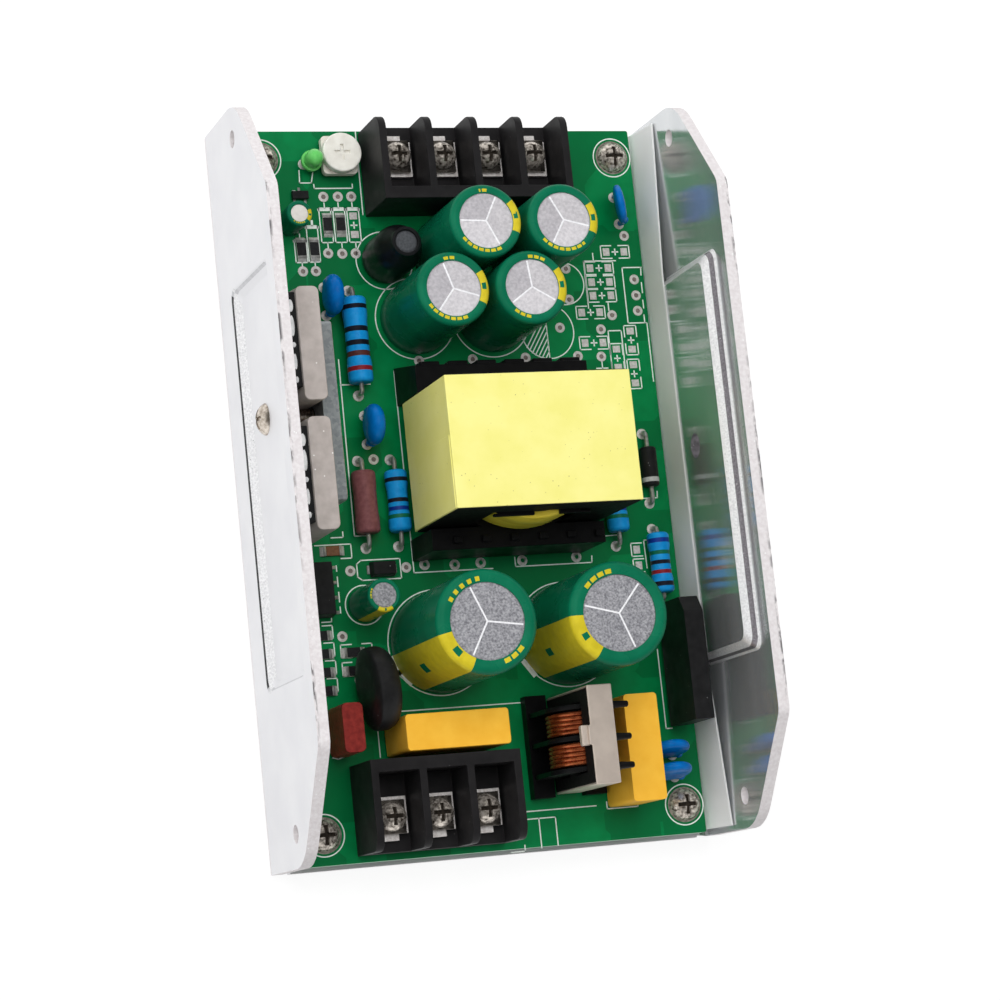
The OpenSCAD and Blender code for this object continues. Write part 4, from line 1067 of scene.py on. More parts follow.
@dataclass
class SleevedCapacitor:
    """An electrolytic capacitor: a can with a scored top in a shrunk sleeve with a printed stripe."""

    name: str
    lip: float
    shoulder: float
    scores: tuple[float, ...]
    stripe: tuple[float, float]
    print_spans: tuple[tuple[float, float], ...] = ()
    tops: tuple[Finish, ...] = (CAN_TOP,)
    wall: float = 0.35
    foot: float = 0.2
    drop_in: float = 0.3
    score_size: tuple[float, float] = (0.3, 0.06)
    dash: tuple[float, float] = (0.4, 0.5)
    minus_width: float = 11.0
    pitch: float = 5.0
    steps: int = 120

    def build(self, solder: SolderJoints) -> list[bpy.types.Object]:
        """Build the capacitor and note its two leads.

        Args:
            solder: Collects the places of the leads.

        Returns:
            The pieces.
        """
        whole = self.name not in Frame.nodes
        room = seat(f"{self.name}_sleeve" if whole else self.name)
        radius = room.size.x / 2
        height = room.high.z - Frame.board_top
        place = at(room.mid.x, room.mid.y, Frame.board_top)
        lean = math.radians(self.stripe[0])
        for side in (-1, 1):
            reach = side * self.pitch / 2
            solder.join(room.mid.x + reach * math.cos(lean), room.mid.y + reach * math.sin(lean))
        sleeve = Form(f"{self.name}_sleeve_finished" if whole else f"{self.name}_finished")
        shape = turned(self.sleeve_profile(radius, height), self.steps, True)
        sleeve.add(shape, SLEEVE, place, self.print_marks(radius, height))
        can = Form(f"{self.name}_can_finished") if whole else sleeve
        self.add_can(can, radius, height, place)
        if not whole:
            return [sleeve.piece(Slot.GREEN_SLEEVE, self.name)]
        return [
            sleeve.piece(Slot.GREEN_SLEEVE, f"{self.name}_sleeve"),
            can.piece(Slot.CAN_ALUMINIUM, f"{self.name}_can"),
        ]

    def sleeve_profile(self, radius: float, height: float) -> Points:
        """Return the sleeve's profile with its rolled shoulder."""
        inside = radius - self.wall
        lip = radius - self.lip
        return (
            (inside, self.foot), (radius, self.foot, 0.1), (radius, height * self.dash[0]),
            (radius, height * self.dash[1]), (radius, height, self.shoulder),
            (lip + self.lip * 0.45, height - 0.01), (lip + self.lip * 0.12, height - 0.03), (lip, height - 0.1),
            (lip, height - self.drop_in - 0.1), (inside, height - self.shoulder - self.drop_in),
        )

    def print_marks(self, radius: float, height: float) -> list[tuple[Finish, Test]]:
        """Return the finishes of the stripe, its minus bars and the print round the shoulder."""
        centre, width = self.stripe
        lip = radius - self.lip

        def in_stripe(middle: Vector) -> bool:
            return abs(turn_between(middle, centre)) < width / 2 and self.outside(middle, radius)

        def in_minus(middle: Vector) -> bool:
            bar = abs(turn_between(middle, centre)) < self.minus_width / 2
            on_top = middle.z > height - 0.06 and middle.xy.length > lip + self.lip * 0.12
            on_side = height * self.dash[0] < middle.z < height * self.dash[1]
            return bar and (on_top or on_side) and self.outside(middle, radius)

        def in_print(middle: Vector) -> bool:
            if not lip + self.lip * 0.12 < middle.xy.length < lip + self.lip * 0.45 or middle.z < height - 0.06:
                return False
            for start, end in self.print_spans:
                along = (math.degrees(math.atan2(middle.y, middle.x)) - start) % 360
                if along < (end - start) % 360 and along % 12 < 8:
                    return True
            return False

        return [(SLEEVE, in_minus), (SLEEVE_PRINT, in_stripe), (SLEEVE_PRINT, in_print)]

    def outside(self, middle: Vector, radius: float) -> bool:
        """Return whether a face is on the outside of the sleeve."""
        return middle.xy.length > radius - self.wall * 0.7 or middle.xy.length > radius - self.lip and middle.z > 6

    def add_can(self, form: Form, radius: float, height: float, place: Matrix) -> None:
        """Add the can with the score on its top."""
        top = height - self.drop_in
        inner = radius - self.wall - 0.03
        disc = radius - self.lip
        profile = (
            (0.0, 0.0), (inner, 0.0, 0.3), (inner, top - self.shoulder, 0.4), (disc + 0.1, top - 0.05), (disc - 0.25, top),
            (0.0, top),
        )

        def in_sector(number: int) -> Test:
            """Return a test for the part of the top between two scores."""
            count = len(self.tops)
            return lambda middle: middle.z > top - 0.03 and self.sector(middle) % count == number

        # With three tops, the sectors differ in painted sheen.
        marks = [(finish, in_sector(number)) for number, finish in enumerate(self.tops)]
        form.add(turned(profile, 90), CAN, place, marks)
        width, rise = self.score_size
        for angle in self.scores:
            bar = block((disc * 0.96, width, rise * 2), rise * 0.6)
            turn = at(0, 0, 0, (0, 0, angle)) @ at(disc * 0.48, 0, top)
            form.add(bar, SCORE, place @ turn)


    def sector(self, middle: Vector) -> int:
        """Return the number of the sector between the scores that holds a place."""
        angle = math.degrees(math.atan2(middle.y, middle.x)) % 360
        return sum(1 for score in self.scores if score % 360 < angle)


@dataclass
class Transformer:
    """The wound transformer: taped core, bobbin with toothed rails, winding and its leads."""

    name: str = "transformer"
    lap_rise: float = 0.12
    lap_share: float = 0.55
    tooth: tuple[float, float, float] = (1.5, 1.2, 0.8)
    leg: tuple[float, float, float] = (3.6, 1.6, 6.0)
    rail_lean: float = 2.0
    lead_radius: float = 0.2
    copper_leads: tuple[tuple[Sequence[float], Sequence[float]], ...] = (
        ((-0.3, -8.8, 8.7), (-1.2, -10.5, 6.0)), ((11.4, -8.3, 9.2), (14.4, -11.4, 6.0)),
        ((-1.0, 14.0, 9.0), (-2.4, 16.5, 11.2)), ((9.0, 13.6, 9.0), (10.6, 16.2, 11.2)),
    )
    bare_lead: tuple[Sequence[float], Sequence[float]] = ((-2.7, -7.2, 9.2), (-1.6, -9.7, 5.0))
    foot_solder: tuple[tuple[float, float], ...] = (
        (-10.3, -13.6), (-4.9, -13.9), (-0.2, -13.8), (7.4, -13.8), (17.4, -13.7),
    )

    def build(self, solder: SolderJoints) -> list[bpy.types.Object]:
        """Build the transformer and note its pins.

        Args:
            solder: Collects the places of the pins.

        Returns:
            The pieces.
        """
        for pin in Frame.solids(f"{self.name}_pins"):
            solder.join(pin.mid.x, pin.mid.y, pin.size.x / 2)
        for x, y in self.foot_solder:
            solder.join(x, y)
        made = [
            SoftenedPart(f"{self.name}_core", FERRITE, Slot.FERRITE, 0.3).build(),
            SoftenedPart(f"{self.name}_pins", TIN, Slot.TIN, 0.0).build(),
            self.tape(),
            self.bobbin(),
            self.winding(),
            self.leads(),
        ]
        return made

    def tape(self) -> bpy.types.Object:
        """Build the tape round the core, with the lap of its end on the left side."""
        name = f"{self.name}_tape"
        room = seat(name)
        form = Form(f"{name}_finished").add(Frame.copy(name, 0.24, 3), TAPE)
        size = (self.lap_rise * 2, room.size.y * self.lap_share, room.size.z - 1.0)
        place = at(room.low.x, room.low.y + size[1] / 2 + 0.05, room.mid.z)
        form.add(block(size, 0.08), TAPE, place)
        return form.piece(Slot.YELLOW_TAPE, name)

    def bobbin(self) -> bpy.types.Object:
        """Build the bobbin, with legs behind its rear rail and small teeth on the front one."""
        name = f"{self.name}_bobbin"
        pins = Frame.solids(f"{self.name}_pins")
        room = seat(name)
        shape = Frame.copy(name, 0.0)
        rail_top = room.high.z - (seat(f"{self.name}_winding").size.z + 0.8)
        for corner in shape.verts:
            if corner.co.y > room.high.y - 0.2 and corner.co.z > rail_top - 1.0:
                corner.co.y -= self.rail_lean
        form = Form(f"{name}_finished").add(soften(shape, 0.2), SHADED_BOBBIN_BLACK)
        for pin in pins:
            if pin.mid.y > room.mid.y:
                rear = room.high.y - self.rail_lean + 0.7
                place = at(pin.mid.x, rear - self.leg[1] / 2, rail_top - self.leg[2] / 2 - 0.3)
                form.add(block(self.leg, 0.25), SHADED_BOBBIN_BLACK, place)
            else:
                place = at(pin.mid.x + 1.6, pin.mid.y, rail_top + self.tooth[2] / 2 - 0.1)
                form.add(block(self.tooth, 0.15), SHADED_BOBBIN_BLACK, place)
        return form.piece(Slot.BLACK_MOULDING, name)

    def winding(self) -> bpy.types.Object:
        """Build the taped winding, which bulges a little between the flanges."""
        name = f"{self.name}_winding"
        room = seat(name)
        outer = room.size.x / 2
        half = room.size.z / 2
        profile = (
            (outer * 0.7, -half), (outer - 0.5, -half, 0.4), (outer, -half * 0.6, 0.5), (outer, half * 0.6, 0.5),
            (outer - 0.5, half, 0.4), (outer * 0.7, half),
        )
        form = Form(f"{name}_finished").add(turned(profile, 72, True), WINDING_TAPE, Matrix.Translation(room.mid))
        return form.piece(Slot.YELLOW_TAPE, name)

    def leads(self) -> bpy.types.Object:
        """Build the thin leads from the winding down to the rails."""
        form = Form("transformer_leads")
        rise = Vector((0, 0, Frame.board_top))
        for start, end in self.copper_leads:
            form.add(swept((Vector(start) + rise, Vector(end) + rise), self.lead_radius, 8), COPPER)
        start, end = self.bare_lead
        form.add(swept((Vector(start) + rise, Vector(end) + rise), self.lead_radius, 8), TIN)
        return form.piece(Slot.COPPER)


@dataclass
class Choke:
    """The common-mode choke: core, clip, flanged bobbin and two windings."""

    name: str = "choke"
    peg_shares: tuple[float, ...] = (0.21, 0.535, 0.825)
    peg: tuple[float, float] = (0.7, 3.5)
    peg_drop: float = 1.3
    tab: tuple[float, float, float] = (1.5, 3.4, 1.2)

    def clip(self) -> bpy.types.Object:
        """Build the spring strap with the small tab on its left side."""
        room = seat("choke_clip")
        form = Form("choke_clip_finished").add(Frame.copy("choke_clip", 0.3, 3), STRAP)
        place = at(room.low.x - self.tab[0] / 2 + 0.4, room.mid.y, room.high.z - self.tab[2])
        return form.add(block(self.tab, 0.25, 3), STRAP, place).piece(Slot.ZINC_STEEL, "choke_clip")

    def pegs(self) -> bpy.types.Object:
        """Build the bobbin's pegs on the right side of the strap."""
        room = seat("choke_clip")
        radius, length = self.peg
        profile = ((0.0, 0.0), (radius, 0.0), (radius * 0.8, length * 0.7), (radius * 0.75, length, 0.3), (0.0, length))
        form = Form("choke_pegs")
        for share in self.peg_shares:
            y = room.high.y - share * room.size.y
            form.add(turned(profile, 20), SHADED_BOBBIN_BLACK, at(room.high.x - 0.4, y, room.high.z - self.peg_drop, (0, 90, 0)))
        return form.piece(Slot.BLACK_MOULDING)

    def build(self) -> list[bpy.types.Object]:
        """Build the parts of the choke."""
        return [
            SoftenedPart("choke_core", FERRITE, Slot.FERRITE, 0.25).build(),
            self.clip(),
            self.pegs(),
            SoftenedPart("choke_bobbin", SHADED_BOBBIN_BLACK, Slot.BLACK_MOULDING, 0.15).build(),
            SoftenedPart("choke_windings", COPPER, Slot.COPPER, 0.0, sharp=60.0).build(),
        ]


@dataclass
class AxialPart:
    """A part that lies on its two bent leads, with bands round its body."""

    node: str
    slot: Slot
    body: Finish
    length: float
    bands: tuple[tuple[tuple[float, float, Finish], ...], ...] = ((),)
    waist: float = 0.2
    cap_share: float = 0.22
    end_round: float = 0.7
    lead_radius: float = 0.4
    bend: float = 0.9

    def build(self, solder: SolderJoints) -> bpy.types.Object:
        """Build every solid of the node and note the leads.

        Args:
            solder: Collects the places of the leads.

        Returns:
            The piece.
        """
        form = Form(f"{self.node}_finished")
        for index, room in enumerate(Frame.solids(self.node)):
            self.add_body(form, room, self.bands[index % len(self.bands)])
            self.add_leads(form, room, solder)
        return form.piece(self.slot, self.node)

    def add_body(self, form: Form, room: Seat, bands: Sequence[tuple[float, float, Finish]]) -> None:
        """Add the body, with a ring of faces for each band."""
        radius = room.size.x / 2
        half = self.length / 2
        cap = self.length * self.cap_share
        limits = [(half - share * self.length - width / 2, half - share * self.length + width / 2) for share, width, _ in bands]
        stops = {end for limit in limits for end in limit}
        stops |= {half - cap, cap - half, half - cap - 1.2, cap - half + 1.2}
        profile: list[tuple[float, ...]] = [(0.0, -half), (radius, -half, self.end_round)]
        inside = half - self.end_round - 0.05
        for stop in sorted(stop for stop in stops if abs(stop) < inside):
            narrow = min(max((half - cap - abs(stop)) / 1.2, 0.0), 1.0)
            profile.append((radius - self.waist * narrow, stop))
        profile += [(radius, half, self.end_round), (0.0, half)]
        marks = [
            (finish, lambda middle, low=low, high=high: low < middle.z < high)
            for (low, high), (_, _, finish) in zip(limits, bands)
        ]
        place = at(room.mid.x, room.mid.y, room.high.z - radius, (-90, 0, 0))
        form.add(turned(profile, 40), self.body, place, marks)

    def add_leads(self, form: Form, room: Seat, solder: SolderJoints) -> None:
        """Add both leads, from the body over a bend down into the board."""
        height = room.high.z - room.size.x / 2
        for way in (-1, 1):
            foot = room.mid.y + way * (room.size.y / 2 - self.lead_radius)
            inner = room.mid.y + way * (self.length / 2 - 0.4)
            corners = ((room.mid.x, inner, height), (room.mid.x, foot, height), (room.mid.x, foot, Frame.board_under - 0.5))
            form.add(swept(rounded_path(corners, self.bend), self.lead_radius), TIN)
            solder.join(room.mid.x, foot, self.lead_radius)


@dataclass
class DippedDisc:
    """A round part dipped in lacquer, which runs down its two leads."""

    node: str
    slot: Slot
    finish: Finish
    diameter: float
    thickness: float
    pitch: float
    turn: float = 0.0
    lean: float = 0.0
    seat: float = 1.5
    flat_share: float = 0.55
    rim_share: float = 0.55
    lead_radius: float = 0.35

    def build(self, solder: SolderJoints) -> bpy.types.Object:
        """Build every disc of the node and note the leads.

        Args:
            solder: Collects the places of the leads.

        Returns:
            The piece.
        """
        form = Form(f"{self.node}_finished")
        radius = self.diameter / 2
        swell = self.thickness / 2
        flat = radius * self.flat_share
        rim = swell * self.rim_share
        profile = (
            (0.0, -swell), (flat, -swell, radius * 0.2), (radius, -rim, rim * 0.95), (radius, rim, rim * 0.95),
            (flat, swell, radius * 0.2), (0.0, swell),
        )
        run = ((0.0, -1.0), (0.5, -1.0), (0.62, 0.4, 0.3), (swell * 0.75, 1.6, 0.4), (0.0, 2.6))
        for room in Frame.solids(self.node):
            turn = self.turn if room.size.x < room.size.y else self.turn + 90
            base = at(room.foot.x, room.foot.y, Frame.board_top + self.seat, (0, 0, turn))
            tilted = base @ at(0, 0, 0, (0, self.lean, 0)) @ at(0, 0, radius, (0, 90, 0))
            form.add(turned(profile, 48), self.finish, tilted)
            for side in (-1, 1):
                spot = base @ Vector((0, side * self.pitch / 2, 0))
                form.add(turned(run, 16), self.finish, at(spot.x, spot.y, spot.z))
                path = ((spot.x, spot.y, spot.z + 1.0), (spot.x, spot.y, Frame.board_under - 0.5))
                form.add(swept(path, self.lead_radius), TIN)
                solder.join(spot.x, spot.y, self.lead_radius)
        return form.piece(self.slot, self.node)


@dataclass
class OutputInductor:
    """A drum inductor in shrunk tube, with the drum's end in the tube's mouth."""

    node: str = "output_inductor"
    mouth: float = 1.95
    neck: float = 2.55

    def build(self, solder: SolderJoints) -> bpy.types.Object:
        """Build the inductor and note its leads."""
        room = seat(self.node)
        radius = room.size.x / 2
        height = room.size.z
        profile = (
            (0.0, 0.0), (radius, 0.0, 0.8), (radius, height * 0.66, 1.4), (self.neck, height - 0.7, 0.8),
            (self.neck, height - 0.1, 0.25), (self.mouth, height, 0.2), (self.mouth, height - 0.55),
            (self.mouth - 0.35, height - 0.3, 0.2), (0.0, height - 0.3),
        )
        marks = [(SHRINK_TOP, lambda middle: middle.xy.length < self.mouth - 0.05 and middle.z > height - 0.6)]
        form = Form(f"{self.node}_finished")
        form.add(turned(profile, 56), BLACK_SHRINK, at(room.mid.x, room.mid.y, room.low.z), marks)
        for side in (-1, 1):
            solder.join(room.mid.x + side * 2.5, room.mid.y)
        return form.piece(Slot.BLACK_SHRINK, self.node)


@dataclass
class IndicatorLamp:
    """A small green lamp with its flange, dome and two leads."""

    node: str = "indicator_lamp"
    lens_radius: float = 1.5
    flange_height: float = 0.8
    lens_height: float = 3.9
    pitch: float = 1.8

    def build(self, solder: SolderJoints) -> bpy.types.Object:
        """Build the lamp and note its leads."""
        room = seat(self.node)
        flange = room.size.x / 2
        low = room.high.z - self.lens_height
        profile = (
            (0.0, 0.0), (flange, 0.0, 0.12), (flange, self.flange_height, 0.15), (self.lens_radius, self.flange_height + 0.05),
            (self.lens_radius, self.lens_height, self.lens_radius * 0.98), (0.0, self.lens_height),
        )
        form = Form(f"{self.node}_finished").add(turned(profile, 40), LENS, at(room.mid.x, room.mid.y, low))
        for side in (-1, 1):
            x = room.mid.x + side * self.pitch / 2
            form.add(block((0.5, 0.5, low - Frame.board_under + 1.5), 0.05), TIN, at(x, room.mid.y, (low + Frame.board_under) / 2))
            solder.join(x, room.mid.y, 0.3)
        return form.piece(Slot.GREEN_LENS, self.node)


@dataclass
class SurfaceChips:
    """Chip resistors and a chip capacitor with soldered ends, and the small regulator."""

    node: str = "chip_parts"
    cap: float = 0.5
    brown_beyond: float = -14.0
    solder_reach: float = 0.55

    def build(self) -> bpy.types.Object:
        """Build every chip where its solid is."""
        form = Form(f"{self.node}_finished")
        for room in Frame.solids(self.node):
            if room.size.z > 0.8:
                self.add_regulator(form, room)
                continue
            along = room.size.y > room.size.x
            place = at(room.mid.x, room.mid.y, Frame.board_top, (0, 0, 0 if along else 90))
            length = max(room.size.x, room.size.y)
            width = min(room.size.x, room.size.y)
            brown = not along and room.mid.y > self.brown_beyond
            self.add_chip(form, place, (width, length, room.size.z), brown)
        return form.piece(Slot.CHIP_CERAMIC, self.node)

    def add_chip(self, form: Form, place: Matrix, size: Sequence[float], brown: bool) -> None:
        """Add one chip along Y with its end caps and the solder in front of them."""
        width, length, height = size
        middle = block((width - 0.06, length - 2 * self.cap, height - 0.05), 0.05)
        glaze = CHIP_BROWN if brown else CHIP_TOP
        sides = CHIP_BROWN if brown else CERAMIC
        form.add(middle, sides, place @ at(0, 0, height / 2), [(glaze, lambda spot: spot.z > height * 0.3)])
        for way in (-1, 1):
            form.add(block((width, self.cap, height), 0.1), TIN, place @ at(0, way * (length - self.cap) / 2, height / 2))
            wedge = prism(((0, 0), (self.solder_reach, 0), (0.12, height * 0.7, 0.3), (0, height * 0.7)), width - 0.1, 0.05)
            turn = at(0, 0, 0, (90, 0, 90)) if way > 0 else at(0, 0, 0, (90, 0, -90))
            shift = at(-way * (width - 0.1) / 2, way * (length / 2 - 0.03), 0)
            form.add(wedge, SOLDER, place @ shift @ turn)

    def add_regulator(self, form: Form, room: Seat) -> None:
        """Add the regulator's black body and its three pins."""
        size = (room.size.x, room.size.y, room.size.z - 0.15)
        form.add(block(size, 0.12), BLACK_EPOXY, at(room.mid.x, room.mid.y, room.mid.z + 0.07))
        for x, way in ((-0.95, -1), (0.95, -1), (0.0, 1)):
            pin = block((0.45, 0.9, 0.18), 0.05)
            form.add(pin, TIN, at(room.mid.x + x, room.mid.y + way * (size[1] / 2 + 0.3), Frame.board_top + 0.12))


@dataclass
class InsulatingFilm:
    """The milky film between the board and the right wall, leaning with its foot against the board."""

    node: str = "insulating_strip"
    lean: tuple[float, float] = (0.5, 1.7)
    flat: float = 35.0
    edge: float = 0.08
    cuts: int = 8

    def build(self) -> bpy.types.Object:
        """Build the film where its node is, cut along its length so that the twist keeps it even."""
        room = seat(self.node)
        shape = Frame.copy(self.node, 0.0)
        long = [line for line in shape.edges if abs(line.verts[0].co.y - line.verts[1].co.y) > 5]
        bmesh.ops.subdivide_edges(shape, edges=long, cuts=self.cuts, use_grid_fill=True)
        for corner in shape.verts:
            share = max(abs(corner.co.y) - self.flat, 0.0) / (room.high.y - self.flat)
            lean = self.lean[0] + (self.lean[1] - self.lean[0]) * share
            corner.co.x -= lean * (room.high.z - corner.co.z) / room.size.z
        form = Form(f"{self.node}_finished").add(soften(shape, self.edge), FILM)
        return form.piece(Slot.MILKY_FILM, self.node)


@dataclass
class InsulatingCap:
    """A soft silicone cap over a power transistor, drawn in from the wall and sagging at its top."""

    node: str
    sag: tuple[float, float] = (0.0, 0.0)
    draw: float = 1.9
    edge: float = 0.5

    def build(self) -> bpy.types.Object:
        """Build the cap where its node is."""
        room = seat(self.node)
        shape = Frame.copy(self.node, 0.0)
        for corner in shape.verts:
            if corner.co.x < room.mid.x and corner.co.z > room.mid.z:
                corner.co.x += self.draw
            if corner.co.z > room.mid.z:
                corner.co.y -= self.sag[0] if corner.co.y < room.mid.y else self.sag[1]
        form = Form(f"{self.node}_finished").add(soften(shape, self.edge, 4), SILICONE)
        return form.piece(Slot.GREY_SILICONE, self.node)


@dataclass
class HeatPaste:
    """Smears of white heat paste between the silicone caps and the wall."""

    nodes: tuple[str, ...] = ("insulating_cap_1", "insulating_cap_2")
    smears: tuple[tuple[float, float, float], ...] = (
        (0.62, 0.4, 1.7), (0.3, 0.3, 1.3), (0.8, 0.24, 1.9), (0.14, 0.12, 1.2), (0.45, 0.1, 1.5),
    )
    height: float = 3.0

    def build(self) -> bpy.types.Object:
        """Build the smears along the wall side of each cap."""
        form = Form("heat_paste")
        for node in self.nodes:
            room = seat(node)
            for share, length, width in self.smears:
                size = (width, length * room.size.y, self.height)
                place = at(room.low.x + 1.0, room.low.y + room.size.y * share, room.high.z - 1.9)
                form.add(drop(size, 18), PASTE, place)
        return form.piece(Slot.GREY_SILICONE)


@dataclass
class BoardPrint:
    """The white legend lines on the board, and its bare pads and plated holes."""

    line: float = 0.2
    rise: float = 0.03
    screw_ring: float = 3.5
    screw_land: float = 3.05
    pad_size: tuple[float, float] = (1.25, 1.4)
    bracket: tuple[float, float] = (1.0, 1.15)
    hole_radius: tuple[float, float] = (0.9, 0.42)
    plus_pairs: tuple[tuple[float, float], ...] = (
        (31.0, 40.5), (27.6, 37.6), (27.6, 35.05), (27.6, 32.6), (25.1, 29.6), (25.1, 24.1),
    )
    upright_pairs: tuple[tuple[float, float], ...] = ((32.2, 24.4), (29.2, 21.2), (32.1, 18.3), (-16.9, 46.0))
    lone_pads: tuple[tuple[float, float], ...] = ((28.8, -13.0), (28.9, -15.8))
    holes: tuple[tuple[float, float], ...] = (
        (33.1, 43.4), (34.1, 35.4), (34.1, 32.5), (34.1, 29.7), (29.1, 29.0), (26.7, 26.5), (26.2, 21.6),
        (21.8, 21.8), (12.0, 21.8), (2.2, 21.8), (-7.6, 21.8), (19.0, 27.0), (21.3, 37.6), (21.3, 32.0), (-21.9, 51.1), (-19.3, 51.1),
        (-16.9, 51.1), (-22.0, 41.1), (-19.5, 41.0), (-17.1, 41.0), (-26.8, 38.0), (-24.5, 38.0), (-17.5, 4.9),
        (-23.5, -14.0), (-13.6, -13.9), (-26.0, -25.0),
    )
    paths: tuple[Points, ...] = (
        ((30.9, 38.9), (24.8, 38.9), (24.8, 30.4)), ((26.7, 40.3), (26.7, 38.9)), ((28.6, 31.3), (28.6, 29.9)),
        ((35.7, 37.6), (32.0, 37.6), (32.0, 27.5), (35.6, 27.5), (35.6, 16.9)), ((35.6, 37.6), (35.5, 36.2)),
        ((35.4, 34.8), (35.4, 33.0)), ((35.3, 31.6), (35.3, 30.2)), ((35.2, 28.9), (35.2, 27.5)),
        ((28.0, 19.2), (28.0, 26.2), (30.5, 26.2), (30.5, 19.2)), ((26.2, 20.6), (26.2, 19.5)),
        ((25.1, 19.5), (27.2, 19.5)), ((-23.4, 53.3), (-23.4, 52.6), (-16.5, 52.6), (-16.5, 53.3)),
        ((-15.0, 62.8), (-15.1, 47.9)), ((-27.4, 51.1), (-27.4, 52.2), (-26.9, 52.2)),
        ((-25.8, 55.8), (-25.9, 53.6), (-23.8, 53.6), (-23.4, 55.4)), ((-24.3, 46.9), (-24.3, 46.1)),
        ((-10.6, 20.2), (-12.3, 20.2), (-12.3, -14.9), (1.9, -14.9)),
        ((6.1, -13.2), (6.1, -14.8), (20.2, -14.8), (20.3, -13.7)), ((-22.1, 18.0), (-16.8, 18.0)),
        ((-22.0, 22.4), (-22.2, -8.1), (-19.4, -8.1)), ((-29.3, -9.4), (-23.0, -9.4), (-23.0, -11.8), (-24.9, -11.8)),
        ((-21.5, -12.3), (-14.6, -12.3), (-14.6, -15.7), (-21.5, -15.7), (-22.3, -15.1), (-22.3, -12.9), (-21.5, -12.3)),
        ((-25.9, -13.0), (-25.9, -13.9)), ((-25.9, -14.9), (-25.9, -16.5)), ((-25.9, -17.5), (-25.9, -19.1)),
        ((-25.9, -20.0), (-25.9, -21.0)), ((-26.3, -8.2), (-24.2, -8.2), (-24.2, -7.3)), ((23.0, -10.3), (26.2, -10.2)),
        ((31.3, -11.4), (30.3, -11.4), (30.4, -16.3)), ((33.9, -2.9), (33.8, -4.0), (31.2, -4.0)),
        ((30.6, -30.7), (30.6, -44.5), (31.7, -44.5)), ((18.1, -56.2), (18.1, -57.4), (23.8, -57.4), (23.8, -56.8)),
        ((3.2, -56.7), (16.1, -56.7)), ((3.3, -58.0), (8.5, -58.0), (8.5, -62.8)), ((5.5, -58.0), (5.5, -63.0)),
        ((2.5, -62.3), (2.5, -63.3), (0.0, -63.3)), ((-29.3, -23.0), (-27.6, -23.0), (-27.6, -25.2), (-29.3, -25.2)),
        ((-29.3, -25.9), (-27.6, -25.9), (-27.6, -28.2), (-29.3, -28.2)),
        ((-29.3, -28.9), (-27.6, -28.9), (-27.6, -31.2), (-29.3, -31.2)),
        ((-29.3, -31.9), (-27.6, -31.9), (-27.6, -34.2), (-29.3, -34.2)),
        ((-24.6, -26.4), (-26.5, -26.4), (-26.5, -28.6), (-24.6, -28.6)), ((-22.7, -26.4), (-21.0, -26.4), (-21.0, -28.6)),
        ((-24.8, -29.4), (-26.5, -29.4), (-26.5, -31.7), (-24.7, -31.7)), ((-29.3, -22.4), (-27.6, -22.4), (-27.6, -21.8)),
        ((-29.6, -45.1), (-28.7, -45.4), (-27.7, -45.1)), ((-18.0, -38.2), (5.6, -38.2)), ((-21.4, -41.3), (-21.4, -45.6)),
        ((17.4, 63.2), (17.4, 53.5)), ((22.3, 63.2), (22.3, 53.5), (17.4, 53.5)), ((19.9, 63.2), (19.9, 53.5)),
    )
    boxes: tuple[tuple[float, float, float, float], ...] = (
        (-21.9, 46.05, 2.1, 6.1), (-19.4, 46.05, 2.1, 6.1), (-16.9, 46.05, 2.1, 6.1), (-26.8, 41.6, 2.1, 4.1),
        (-24.5, 42.8, 2.0, 6.4),
    )
    thick_paths: tuple[Points, ...] = (
        ((-17.5, -29.2), (-16.6, -31.7), (-14.9, -33.5)), ((5.9, -31.4), (7.4, -33.5)),
    )
    hatch_steps: int = 4

    def build(self) -> list[bpy.types.Object]:
        """Build the legend and the bare metal."""
        return [self.legend(), self.pads()]

    def stroke(self, form: Form, start: Sequence[float], end: Sequence[float], width: float | None = None) -> None:
        """Add a straight line of the legend, of its usual width unless another one is given."""
        wide = width or self.line
        first = Vector(start)
        way = Vector(end) - first
        middle = first + way / 2
        turn = math.degrees(math.atan2(way.y, way.x))
        size = (way.length + wide, wide, self.rise)
        form.add(block(size), INK, at(middle.x, middle.y, Frame.board_top + self.rise / 2, (0, 0, turn)))

    def lines(self, form: Form, points: Points, width: float | None = None) -> None:
        """Add straight lines of the legend from point to point."""
        for start, end in zip(points, points[1:]):
            self.stroke(form, start, end, width)

    def frame(self, form: Form, x: float, y: float, width: float, length: float) -> None:
        """Add a rectangle of the legend round a place."""
        right, rear = x + width / 2, y + length / 2
        left, front = x - width / 2, y - length / 2
        self.lines(form, ((left, front), (right, front), (right, rear), (left, rear), (left, front)))

    def circle(self, form: Form, x: float, y: float, radius: float) -> None:
        """Add a circle of the legend."""
        half = self.line / 2
        profile = ((radius - half, 0.0), (radius + half, 0.0), (radius + half, self.rise), (radius - half, self.rise))
        form.add(turned(profile, 64, True), INK, at(x, y, Frame.board_top))

    def plus(self, form: Form, x: float, y: float, reach: float = 0.5) -> None:
        """Add a plus mark of the legend."""
        self.stroke(form, (x - reach, y), (x + reach, y), self.line * 1.2)
        self.stroke(form, (x, y - reach), (x, y + reach), self.line * 1.2)

    def half_hatch(self, form: Form, x: float, y: float, radius: float) -> None:
        """Add the hatching of a circle's left half, as it marks a polarity."""
        self.stroke(form, (x, y - radius), (x, y + radius))
        for step in range(1, self.hatch_steps * 2):
            start = Vector((x, y - radius + step * radius / self.hatch_steps))
            way = Vector((-1.0, -1.6)).normalized()
            across = start - Vector((x, y))
            along = across.dot(way)
            reach = -along + math.sqrt(max(along**2 - across.length_squared + radius**2, 0.0))
            self.stroke(form, start, start + way * reach)

